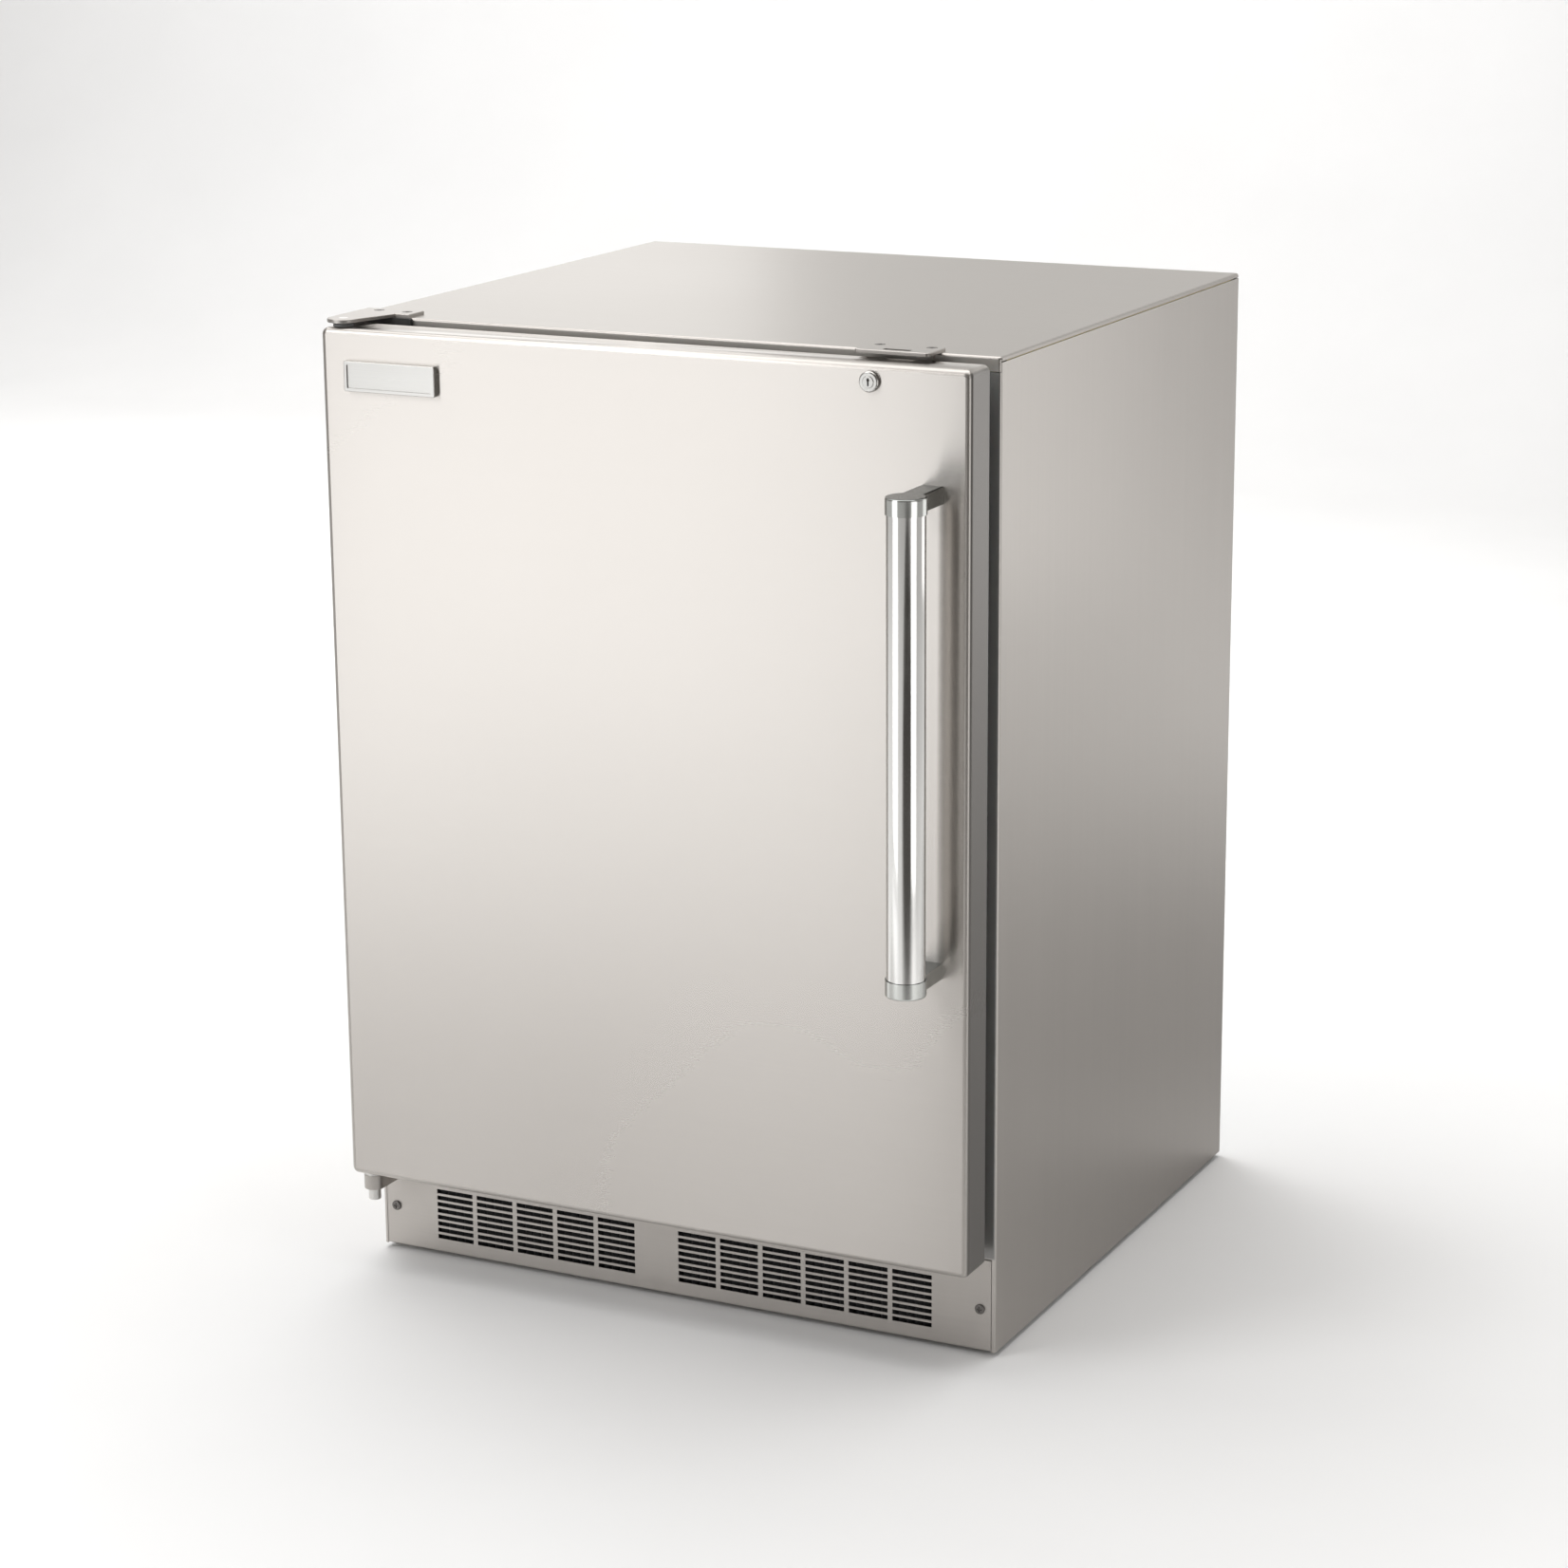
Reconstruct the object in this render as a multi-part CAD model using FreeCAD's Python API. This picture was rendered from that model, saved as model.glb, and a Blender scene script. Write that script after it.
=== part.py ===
"""Undercounter refrigerator, 24 inch class, with a stainless steel wrapped cabinet and one left-hinged door.

Every piece is modelled in cabinet coordinates, in millimetres: X = 0 is the cabinet's middle plane,
Y = 0 is the front face of the cabinet with +Y towards the back, and Z = 0 is the lower edge of the
side panels.
export() then moves it into the part's own frame, whose origin is the bottom centre of the whole object.
"""

import FreeCAD, Part

import math
import os

V = FreeCAD.Vector
X, Y, Z = V(1, 0, 0), V(0, 1, 0), V(0, 0, 1)

# ---- driving dimensions -------------------------------------------------------------------------------
CABINET_W = 606.0  # 23 7/8 in, the width of a 24 in undercounter unit
CABINET_D = 550.0  # side panels, without the door
CABINET_H = 850.5  # side panel lower edge to the top surface
SHEET = 1.0  # stainless skin
WALL = 38.0  # side wall: skin, foam and liner
FOOT_DROP = 5.0  # how far the levelling feet stand below the side panels

DOOR_W = 602.0
DOOR_BOTTOM = 86.0
DOOR_TOP = 847.0
DOOR_FRONT = -55.0
DOOR_BACK = -19.0  # rear edge of the outer pan
DOOR_CORNER_R = 6.0
DOOR_EDGE_R = 5.0

HINGE_X = -288.0
HINGE_Y = -38.0
PIN_R = 4.0
BUSH_BORE_R = 4.05
BUSH_R = 6.0

HANDLE_X = 268.0
HANDLE_STANDOFF = 51.0  # door face to the tube's axis
HANDLE_TUBE_R = 16.0
HANDLE_CAP_R = 17.0
HANDLE_BOTTOM = 345.0
HANDLE_TOP = 754.0
HANDLE_CAP_H = 14.0
HANDLE_ARM_W = 20.0

GASKET_INSET = 20.0
GASKET_W = 13.0
GASKET_GAP = 0.3  # left open between the seal and the cabinet's face

OPENING_X = CABINET_W / 2 - WALL  # 265
OPENING_BOTTOM = 128.0
OPENING_TOP = 812.0
LINER_T = 2.5
LINER_X = OPENING_X - 3.0  # inner face of the liner's side walls
LINER_FLOOR = 130.0
LINER_CEILING = 810.0
LINER_BACK = 480.0
HUMP_FRONT = 300.0  # the liner steps up over the compressor bay
HUMP_TOP = 330.0
BAY_FRONT = 340.0
BAY_TOP = 288.0
TUNNEL_TOP = 88.0  # air tunnel from the grille to the compressor bay

SHELF_FRONT = 118.0
SHELF_BACK = 436.0
SHELF_LEVELS = (340.0, 490.0, 640.0)
LEDGE_LEVELS = (340.0, 415.0, 490.0, 565.0, 640.0, 715.0)
LEDGE_DEPTH = 8.0

GRILLE_TOP = 83.5
SLOT_W, SLOT_H = 37.0, 4.0
SLOT_PITCH_X, SLOT_PITCH_Z = 41.4, 6.2
SLOT_ROWS = 8
SLOT_FIRST_Z = 13.1
SLOT_GROUPS = ((-246.0, 5), (0.0, 6))  # left edge of the group, columns
GRILLE_HALF_W = 299.0
GRILLE_SCREW_X, GRILLE_SCREW_Z = 289.0, 38.0

LOCK_X, LOCK_Z = 213.5, 833.5
LOCK_CAM_Y = -16.7
LOCK_CAM_REACH = 23.0

FOOT_X, FOOT_Y = 262.0, (45.0, 505.0)
FOOT_TRAVEL = 25.0

COMPRESSOR_X, COMPRESSOR_Y = -130.0, 446.0
COMPRESSOR_R = 74.0
CONDENSER_X = 130.0
CONDENSER_FAN_Z = 118.0
CONDENSER_FAN_R = 68.0
EVAPORATOR_FAN_Z = 715.0
EVAPORATOR_FAN_R = 42.0
KNOB_X, KNOB_Z = 78.0, 793.0
SWITCH_X, SWITCH_Z = -80.0, 793.0
CONTROL_FRONT = 34.0
DIKE_FACE = 20.0  # how far the door's inner rim enters the cabinet

HANDLE_Y = DOOR_FRONT - HANDLE_STANDOFF
FRONT_MOST = HANDLE_Y - HANDLE_CAP_R
REAR_PANEL_Y = CABINET_D + SHEET
SCREW_HEAD_H = 2.0
REAR_MOST = REAR_PANEL_Y + SCREW_HEAD_H
TO_ROW_FRAME = V(0, -(FRONT_MOST + REAR_MOST) / 2, FOOT_DROP)


# ---- helpers ------------------------------------------------------------------------------------------
def box(x0, x1, y0, y1, z0, z1):
    return Part.makeBox(x1 - x0, y1 - y0, z1 - z0, V(x0, y0, z0))


def cyl(base, axis, radius, length):
    return Part.makeCylinder(radius, length, V(*base), axis)


def fuse(shapes):
    shapes = list(shapes)
    whole = shapes[0].multiFuse(shapes[1:]) if len(shapes) > 1 else shapes[0]
    return whole.removeSplitter()


def cut(shape, tools):
    return shape.cut(Part.makeCompound(list(tools)))


def parallel(edge, direction):
    if not isinstance(edge.Curve, Part.Line):
        return False
    return abs(edge.tangentAt(edge.FirstParameter).dot(direction)) > 0.999


def fillet(shape, radius, wanted):
    """Rounds the edges that wanted(edge) picks."""
    return shape.makeFillet(radius, [e for e in shape.Edges if wanted(e)])


def round_along(shape, direction, radius):
    return fillet(shape, radius, lambda e: parallel(e, direction))


def on_plane(direction, offset, slack=1e-4):
    """Picks edges that lie whole in the plane direction . point = offset."""

    def wanted(edge):
        middle = edge.valueAt((edge.FirstParameter + edge.LastParameter) / 2)
        points = [v.Point for v in edge.Vertexes] + [middle]
        return all(abs(p.dot(direction) - offset) < slack for p in points)

    return wanted


def ring_xz(x_half, z0, z1, width, y0, y1, corner):
    """A rectangular ring that lies in an XZ plane, with rounded outer corners."""
    outer = round_along(box(-x_half, x_half, y0, y1, z0, z1), Y, corner)
    inner = box(-x_half + width, x_half - width, y0 - 1, y1 + 1, z0 + width, z1 - width)
    inner = round_along(inner, Y, max(corner - width, 1.0))
    return outer.cut(inner)


def revolve(points, centre, axis=Z):
    """Turns an (r, h) outline about an axis through centre."""
    outline = Part.makePolygon([V(r, 0, h) for r, h in points] + [V(points[0][0], 0, points[0][1])])
    solid = Part.Face(outline).revolve(V(0, 0, 0), Z, 360)
    solid.Placement = FreeCAD.Placement(V(*centre), FreeCAD.Rotation(Z, axis))
    return solid


def tube(points, radius, bend):
    """A round tube along straight runs joined by tangent arcs."""
    points = [V(*p) for p in points]
    edges, start = [], points[0]
    for before, corner, after in zip(points, points[1:], points[2:]):
        a, b = (before - corner).normalize(), (after - corner).normalize()
        half = math.acos(max(-1.0, min(1.0, a.dot(b)))) / 2
        trim = bend / math.tan(half)
        middle = corner + (a + b).normalize() * (bend / math.sin(half) - bend)
        edges.append(Part.makeLine(start, corner + a * trim))
        edges.append(Part.Arc(corner + a * trim, middle, corner + b * trim).toShape())
        start = corner + b * trim
    edges.append(Part.makeLine(start, points[-1]))
    path = Part.Wire(edges)
    circle = Part.Wire(Part.makeCircle(radius, points[0], (points[1] - points[0]).normalize()))
    return path.makePipeShell([circle], True, True)


def screw(base, axis, head_r=4.5, shank_r=2.0, shank=8.0):
    """A pan-head screw. base is where the head's underside sits and axis points out of the panel."""
    head = cyl(base, axis, head_r, SCREW_HEAD_H)
    head = fillet(head, 1.2, on_plane(axis, V(*base).dot(axis) + SCREW_HEAD_H))
    tip = V(*base) - axis * shank
    slot_depth = 1.0
    across = X if abs(axis.dot(X)) < 0.5 else Y
    other = axis.cross(across)
    middle = V(*base) + axis * (SCREW_HEAD_H - slot_depth / 2)
    arms = []
    for long_way, short_way in ((across, other), (other, across)):
        half = long_way * 2.4 + short_way * 0.5 + axis * (slot_depth / 2)
        half = V(abs(half.x), abs(half.y), abs(half.z))
        low = middle - half
        arms.append(Part.makeBox(2 * half.x, 2 * half.y, 2 * half.z, low))
    shank_solid = Part.makeCylinder(shank_r, shank, tip, axis)
    return cut(fuse([head, shank_solid]), arms)


def hole(base, axis, radius, depth=6.0):
    """A drill for a panel: centred on the panel at base."""
    return Part.makeCylinder(radius, depth, V(*base) - axis * (depth / 2), axis)


# ---- where the screws go ------------------------------------------------------------------------------
GRILLE_SCREWS = [(side * GRILLE_SCREW_X, 0.0, GRILLE_SCREW_Z) for side in (-1, 1)]
REAR_SCREW_ZS = (12.0, 150.0, 276.0, 300.0, 570.0, 838.0)
REAR_SCREWS = [(side * 294.0, REAR_PANEL_Y, z) for side in (-1, 1) for z in REAR_SCREW_ZS]
TOP_PLATE_T = 3.0
TOP_SCREWS = [(-284.0, 13.0), (-256.0, 13.0), (194.0, 5.5), (240.0, 5.5)]
SCREW_R = 2.0


# ---- cabinet ------------------------------------------------------------------------------------------
def side_panel(side):
    """Folded side skin: the outer face, the wide front flange that the door seals on, and a rear flange."""
    half, lip_height, top_gap = CABINET_W / 2, 12.0, 4.5
    outer = box(OPENING_X, half, 0, CABINET_D, 0, CABINET_H - top_gap)
    outer = fillet(outer, 2.5, lambda e: parallel(e, Z) and e.CenterOfMass.x > half - 1)
    inner = box(OPENING_X - 1, half - SHEET, SHEET, CABINET_D - SHEET, -1, CABINET_H)
    inner = fillet(inner, 1.5, lambda e: parallel(e, Z) and e.CenterOfMass.x > half - 2)
    rear_window = box(OPENING_X - 1, half - 16, CABINET_D / 2, CABINET_D + 1, -1, CABINET_H)
    under_lip = box(0, half + 1, -1, 1.2, CABINET_H - lip_height - 0.5, CABINET_H)
    below_rail = box(0, GRILLE_HALF_W + 0.5, -1, SHEET + 0.5, -1, DOOR_BOTTOM - 2)
    panel = outer.cut(inner).cut(rear_window).cut(under_lip).cut(below_rail)
    panel = cut(panel, [hole((294.0, CABINET_D - SHEET / 2, z), Y, SCREW_R) for z in REAR_SCREW_ZS])
    return panel if side > 0 else panel.mirror(V(0, 0, 0), X)


def top_panel():
    """Shallow folded lid: short side and rear lips and a deeper front lip."""
    half, lip_height, side_lip = CABINET_W / 2, 12.0, 3.5
    low = CABINET_H - lip_height
    outer = round_along(box(-half, half, 0, CABINET_D, low, CABINET_H), Z, 3.0)
    outer = fillet(outer, 2.4, on_plane(Z, CABINET_H))
    inner = box(-half + SHEET, half - SHEET, SHEET, CABINET_D - SHEET, low - 1, CABINET_H - SHEET)
    inner = fillet(round_along(inner, Z, 2.0), 1.4, on_plane(Z, CABINET_H - SHEET))
    panel = outer.cut(inner).cut(box(-half - 1, half + 1, 1.2, CABINET_D + 1, low - 1, CABINET_H - side_lip))
    return cut(panel, [hole((x, y, CABINET_H), Z, SCREW_R) for x, y in TOP_SCREWS])


RAIL_DEPTH = 12.0


def front_rails():
    """Cross members above and below the opening, channels that open backwards."""
    rails = []
    for z0, z1 in ((OPENING_TOP, CABINET_H - 12.5), (DOOR_BOTTOM, OPENING_BOTTOM)):
        outer = box(-OPENING_X, OPENING_X, 0, RAIL_DEPTH, z0, z1)
        outer = fillet(outer, 0.8, lambda e: parallel(e, X) and e.CenterOfMass.y < 0.1)
        inner = box(-OPENING_X - 1, OPENING_X + 1, SHEET, RAIL_DEPTH + 1, z0 + SHEET, z1 - SHEET)
        rails.append(outer.cut(inner))
    return Part.makeCompound(rails)


def rear_panel():
    """Upper rear skin with two stiffening ribs pressed outwards."""
    panel = box(-302, 302, CABINET_D, REAR_PANEL_Y, 290, CABINET_H - 5)
    for x in (-140.0, 140.0):
        rib = round_along(box(x - 14, x + 14, CABINET_D, REAR_PANEL_Y + 1.2, 350, 790), Y, 13.9)
        rib = fillet(rib, 1.0, on_plane(Y, REAR_PANEL_Y + 1.2))
        recess = round_along(box(x - 12, x + 12, CABINET_D - 1, CABINET_D + 1.2, 352, 788), Y, 11.9)
        panel = panel.fuse(rib).cut(recess)
    return cut(panel, [hole((x, y, z), Y, SCREW_R) for x, y, z in REAR_SCREWS if z > 290])


INLET_X, INLET_Z = 236.0, 66.0


def rear_service_cover():
    """Lower rear cover over the compressor bay, slotted for air, with a cut-out for the power inlet."""
    panel = box(-302, 302, CABINET_D, REAR_PANEL_Y, 3, 288.5)
    slots = []
    for group_x in (-235.0, -75.0, 85.0):
        for row in range(9):
            z = 110 + row * 17.0
            slot = box(group_x, group_x + 120, CABINET_D - 1, REAR_PANEL_Y + 1, z, z + 6)
            slots.append(round_along(slot, Y, 2.9))
    inlet = box(INLET_X - 14, INLET_X + 14, CABINET_D - 1, REAR_PANEL_Y + 1, INLET_Z - 10.5, INLET_Z + 10.5)
    screws = [hole((x, y, z), Y, SCREW_R) for x, y, z in REAR_SCREWS if z < 290]
    return cut(panel, slots + [inlet] + screws)


def power_inlet():
    """Appliance inlet in the service cover: a flanged body with a recess and three blades."""
    y = REAR_PANEL_Y
    flange = round_along(box(INLET_X - 20, INLET_X + 20, y, y + 1.8, INLET_Z - 14, INLET_Z + 14), Y, 3)
    body = box(INLET_X - 13.8, INLET_X + 13.8, y - 20, y + 0.5, INLET_Z - 10.2, INLET_Z + 10.2)
    recess = round_along(box(INLET_X - 12, INLET_X + 12, y - 16, y + 3, INLET_Z - 8.2, INLET_Z + 8.2), Y, 3)
    blades = [
        box(INLET_X + dx - 2, INLET_X + dx + 2, y - 17, y - 3, INLET_Z + dz - 1, INLET_Z + dz + 1)
        for dx, dz in ((-7, -2), (0, 2), (7, -2))
    ]
    return fuse([fuse([flange, body]).cut(recess)] + blades)


BASE_Z = 2.0
BASE_T = 1.2


def base_pan():
    """Bottom pan with upturned rims and four welded nuts for the levelling feet."""
    half, front, back, rim = CABINET_W / 2 - SHEET - 0.2, 16.0, CABINET_D - SHEET - 0.2, 16.0
    outer = round_along(box(-half, half, front, back, BASE_Z, BASE_Z + rim), Z, 4)
    outer = fillet(outer, 2.0, on_plane(Z, BASE_Z))
    floor = BASE_Z + BASE_T
    inner = box(-half + BASE_T, half - BASE_T, front + BASE_T, back - BASE_T, floor, BASE_Z + rim + 1)
    pan = outer.cut(round_along(inner, Z, 2.8))
    nuts = []
    for x, y in foot_places():
        angles = [math.radians(60 * i) for i in range(7)]
        corners = [V(x + 9.8 * math.cos(a), y + 9.8 * math.sin(a), floor) for a in angles]
        nuts.append(Part.Face(Part.makePolygon(corners)).extrude(V(0, 0, 9)))
    pan = fuse([pan] + nuts)
    holes = [cyl((x, y, -1), Z, 5.05, 30) for x, y in foot_places()]
    holes += [cyl((x, y, 0), Z, 3.0, 10) for x, y in compressor_stud_places()]
    holes += [hole(p, Y, SCREW_R + 0.2, 20) for p in REAR_SCREWS]
    return cut(pan, holes)


def foot_places():
    return [(side * FOOT_X, y) for y in FOOT_Y for side in (-1, 1)]


def foot(x, y):
    """Levelling foot: a round pad with wrench flats under a plain stud."""
    pad = cyl((x, y, -FOOT_DROP), Z, 17, 5.8)
    pad = fillet(pad, 1.5, on_plane(Z, -FOOT_DROP))
    flats = box(x - 20, x + 20, y - 20, y + 20, -2.5, 1).cut(box(x - 14.5, x + 14.5, y - 20, y + 20, -3, 2))
    pad = pad.cut(flats)
    return fuse([pad, cyl((x, y, 0), Z, 5.0, 42)])


def liner_volume(grow, front):
    """The cavity inside the liner, grown by grow on every wall, from y = front to the back."""
    half = LINER_X + grow
    upper = box(-half, half, front, LINER_BACK + grow, HUMP_TOP - grow, LINER_CEILING + grow)
    lower = box(-half, half, front, HUMP_FRONT + grow, LINER_FLOOR - grow, HUMP_TOP + 1)
    volume = fuse([upper, lower])
    return fillet(volume, 10.0 + grow, lambda e: parallel(e, Z) and e.CenterOfMass.y > front + 1 and
                  abs(e.CenterOfMass.x) > 100)


def cabinet_liner():
    """Inner food liner: one vacuum-formed tub with a step over the compressor bay and a front flange."""
    shell = liner_volume(LINER_T, SHEET).cut(liner_volume(0, -5))
    flange = box(-OPENING_X - 20, OPENING_X + 20, SHEET, SHEET + 2, OPENING_BOTTOM - 20, OPENING_TOP + 20)
    flange = flange.cut(box(-LINER_X, LINER_X, -1, 10, LINER_FLOOR, LINER_CEILING))
    sill = box(-OPENING_X - 1, OPENING_X + 1, 0, RAIL_DEPTH + 0.01, 0, OPENING_BOTTOM)
    head = box(-OPENING_X - 1, OPENING_X + 1, 0, RAIL_DEPTH + 0.01, OPENING_TOP, CABINET_H)
    shell = fuse([shell, flange]).cut(sill).cut(head)
    drain = cyl((0, HUMP_FRONT - 25, LINER_FLOOR - 10), Z, DRAIN_R, 20)
    return shell.cut(drain)


DRAIN_R = 6.0


def cabinet_foam():
    """Insulation that fills the space between the liner and the outer skins."""
    half = CABINET_W / 2 - SHEET
    block = box(-half, half, SHEET + 2, CABINET_D - SHEET, TUNNEL_TOP + SHEET, CABINET_H - SHEET - 1.5)
    block = round_along(block, Z, 2.5)
    block = block.cut(box(-half - 1, half + 1, -1, 13, TUNNEL_TOP, CABINET_H + 1).cut(
        box(-half, half, -1, 14, OPENING_BOTTOM - 20, OPENING_TOP + 20)))
    block = block.cut(box(-OPENING_X - 1, OPENING_X + 1, -1, 13, 0, OPENING_BOTTOM + 1))
    block = block.cut(box(-OPENING_X - 1, OPENING_X + 1, -1, 13, OPENING_TOP - 1, CABINET_H))
    block = block.cut(box(-half - 1, half + 1, CABINET_D - 20, CABINET_D, CABINET_H - 6, CABINET_H + 1))
    block = block.cut(box(-half - 1, half + 1, BAY_FRONT, CABINET_D + 1, 0, BAY_TOP + SHEET))
    block = block.cut(liner_volume(LINER_T, -5))
    pipes = [cyl((x, BAY_FRONT + 60, BAY_TOP - 5), Z, 7, 60) for x in LINE_HOLES_X]
    block = cut(block, pipes + [cyl((0, HUMP_FRONT - 25, 60), Z, DRAIN_R + 2, 90)])
    block = cut(block, [cyl((x, y, CABINET_H - 12), Z, SCREW_R + 0.5, 14) for x, y in TOP_SCREWS])
    block = cut(block, [hole(p, Y, SCREW_R + 0.5, 20) for p in REAR_SCREWS])
    return max(block.Solids, key=lambda s: s.Volume)


LINE_HOLES_X = (-22.0, 22.0)


def compressor_bay_deck():
    """Folded sheet under the foam: tunnel roof, bay front wall and bay roof."""
    half = CABINET_W / 2 - SHEET - 0.2
    lower = box(-half, half, RAIL_DEPTH + 2, BAY_FRONT, TUNNEL_TOP, TUNNEL_TOP + SHEET)
    wall = box(-half, half, BAY_FRONT, BAY_FRONT + SHEET, TUNNEL_TOP, BAY_TOP + SHEET)
    roof = box(-half, half, BAY_FRONT, CABINET_D - SHEET, BAY_TOP, BAY_TOP + SHEET)
    deck = fuse([lower, wall, roof])
    holes = [cyl((x, BAY_FRONT + 60, BAY_TOP - 5), Z, 7, 20) for x in LINE_HOLES_X]
    return cut(deck, holes + [cyl((0, HUMP_FRONT - 25, 60), Z, DRAIN_R + 2, 60)])


def base_grille():
    """Kick grille between the side panels, with two groups of narrow air slots."""
    half = GRILLE_HALF_W
    outer = box(-half, half, 0, 14, 0.5, GRILLE_TOP)
    outer = fillet(outer, 1.5, lambda e: parallel(e, X) and e.CenterOfMass.y < 0.1)
    inner = box(-half - 1, half + 1, SHEET, 15, 0.5 + SHEET, GRILLE_TOP - SHEET)
    slots = []
    for first_x, columns in SLOT_GROUPS:
        for column in range(columns):
            for row in range(SLOT_ROWS):
                x = first_x + column * SLOT_PITCH_X
                z = SLOT_FIRST_Z + row * SLOT_PITCH_Z
                slots.append(box(x, x + SLOT_W, -1, 2, z, z + SLOT_H))
    screws = [hole(p, Y, SCREW_R) for p in GRILLE_SCREWS]
    return cut(outer.cut(inner), slots + screws)


def panel_screws():
    """Every outside screw of the cabinet: grille, rear covers, top hinge plate and lock keeper."""
    solids = [screw(p, -Y) for p in GRILLE_SCREWS]
    solids += [screw(p, Y) for p in REAR_SCREWS]
    solids += [screw((x, y, CABINET_H + TOP_PLATE_T - SCREW_HEAD_H), Z, shank=6.0) for x, y in TOP_SCREWS]
    return Part.makeCompound(solids)


# ---- interior -----------------------------------------------------------------------------------------
def shelf_ledges():
    """Shelf support strips on both side walls."""
    solids = []
    for z in LEDGE_LEVELS:
        for side in (-1, 1):
            inner, outer = LINER_X - LEDGE_DEPTH, LINER_X
            x0, x1 = (inner, outer) if side > 0 else (-outer, -inner)
            strip = box(x0, x1, 126, 432, z - 7, z)
            strip = fillet(strip, 3.0, lambda e: not parallel(e, Z) and not parallel(e, X) and
                           abs(abs(e.CenterOfMass.x) - inner) < 0.1 and e.CenterOfMass.z < z - 1)
            solids.append(strip)
    return Part.makeCompound(solids)


def wire_shelf(level):
    """Welded wire shelf: a frame, long wires front to back and cross wires under them."""
    frame_r, wire_r, cross_r = 3.0, 1.8, 2.5
    half, z = LINER_X - 5.0, level + frame_r
    corners = [(-half, SHELF_FRONT + frame_r), (half, SHELF_FRONT + frame_r), (half, SHELF_BACK - frame_r),
               (-half, SHELF_BACK - frame_r)]
    middle_front = (0.0, SHELF_FRONT + frame_r)
    loop = [middle_front, corners[1], corners[2]]
    right = tube([(p[0], p[1], z) for p in loop] + [(0.0, SHELF_BACK - frame_r, z)], frame_r, 14.0)
    left = right.mirror(V(0, 0, 0), X)
    count = 19
    pitch = 2 * (half - 14) / (count - 1)
    wires = [
        cyl((-half + 14 + i * pitch, SHELF_FRONT + frame_r, z + wire_r * 0.6), Y, wire_r,
            SHELF_BACK - SHELF_FRONT - 2 * frame_r)
        for i in range(count)
    ]
    crosses = [cyl((-half, y, z - 0.8), X, cross_r - 0.6, 2 * half) for y in (200.0, 280.0, 360.0)]
    return fuse([right, left] + wires + crosses)


COVER_FRONT = 440.0


def evaporator_cover():
    """Air duct cover on the rear wall, with a round fan grille and a return louvre."""
    x, z0, z1 = 215.0, 515.0, 806.0
    outer = round_along(box(-x, x, COVER_FRONT, LINER_BACK + 12, z0, z1), Y, 14)
    outer = fillet(outer, 5.0, on_plane(Y, COVER_FRONT))
    inner = round_along(box(-x + 2, x - 2, COVER_FRONT + 2, LINER_BACK + 14, z0 + 2, z1 - 2), Y, 12)
    shell = outer.cut(inner).cut(box(-300, 300, LINER_BACK, LINER_BACK + 30, 400, 850))
    slots = []
    ring_w, gap = 5.0, 4.0
    for i in range(4):
        r0 = 12 + i * (ring_w + gap)
        ring = cyl((0, COVER_FRONT - 1, EVAPORATOR_FAN_Z), Y, r0 + ring_w, 5).cut(
            cyl((0, COVER_FRONT - 1, EVAPORATOR_FAN_Z), Y, r0, 5))
        slots.append(ring)
    spokes = []
    for i in range(4):
        spoke = box(-1.5, 1.5, COVER_FRONT - 2, COVER_FRONT + 6, -60, 60)
        spoke.rotate(V(0, 0, 0), Y, 45 * i)
        spoke.translate(V(0, 0, EVAPORATOR_FAN_Z))
        spokes.append(spoke)
    slots = [ring.cut(Part.makeCompound(spokes)) for ring in slots]
    for row in range(5):
        z = z0 + 16 + row * 11
        slots.append(round_along(box(-150, 150, COVER_FRONT - 1, COVER_FRONT + 4, z, z + 4.5), Y, 2.2))
    return cut(shell, slots)


def serpentine(x0, x1, y, z_levels, radius):
    """One tube that runs back and forth between x0 and x1, with a half-circle bend after each run."""
    edges, ends = [], (x0, x1)
    for i, (z, z_next) in enumerate(zip(z_levels, z_levels[1:] + [None])):
        start, stop = ends[i % 2], ends[(i + 1) % 2]
        edges.append(Part.makeLine(V(start, y, z), V(stop, y, z)))
        if z_next is not None:
            bend = (z_next - z) / 2
            outward = bend if stop == x1 else -bend
            arc = Part.Arc(V(stop, y, z), V(stop + outward, y, z + bend), V(stop, y, z_next))
            edges.append(arc.toShape())
    circle = Part.Wire(Part.makeCircle(radius, V(x0, y, z_levels[0]), X))
    return Part.Wire(edges).makePipeShell([circle], True, True)


def finned_coil(x0, x1, y0, y1, z0, z1, rows, columns, tube_r, pitch):
    """A tube-and-fin heat exchanger: plate fins on one serpentine tube per column."""
    dz, dy = (z1 - z0) / rows, (y1 - y0) / columns
    fins = [box(x, x + 0.8, y0, y1, z0, z1) for x in frange(x0 + 6, x1 - 6, pitch)]
    levels = [z0 + (r + 0.5) * dz for r in range(rows)]
    tubes = [serpentine(x0, x1, y0 + (c + 0.5) * dy, levels, tube_r) for c in range(columns)]
    return fuse(fins + tubes)


def frange(start, stop, step):
    count = int((stop - start) / step) + 1
    return [start + i * step for i in range(count)]


def evaporator_coil():
    return finned_coil(-140, 140, 446, 474, 535, 655, 4, 1, 4.0, 10.0)


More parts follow.
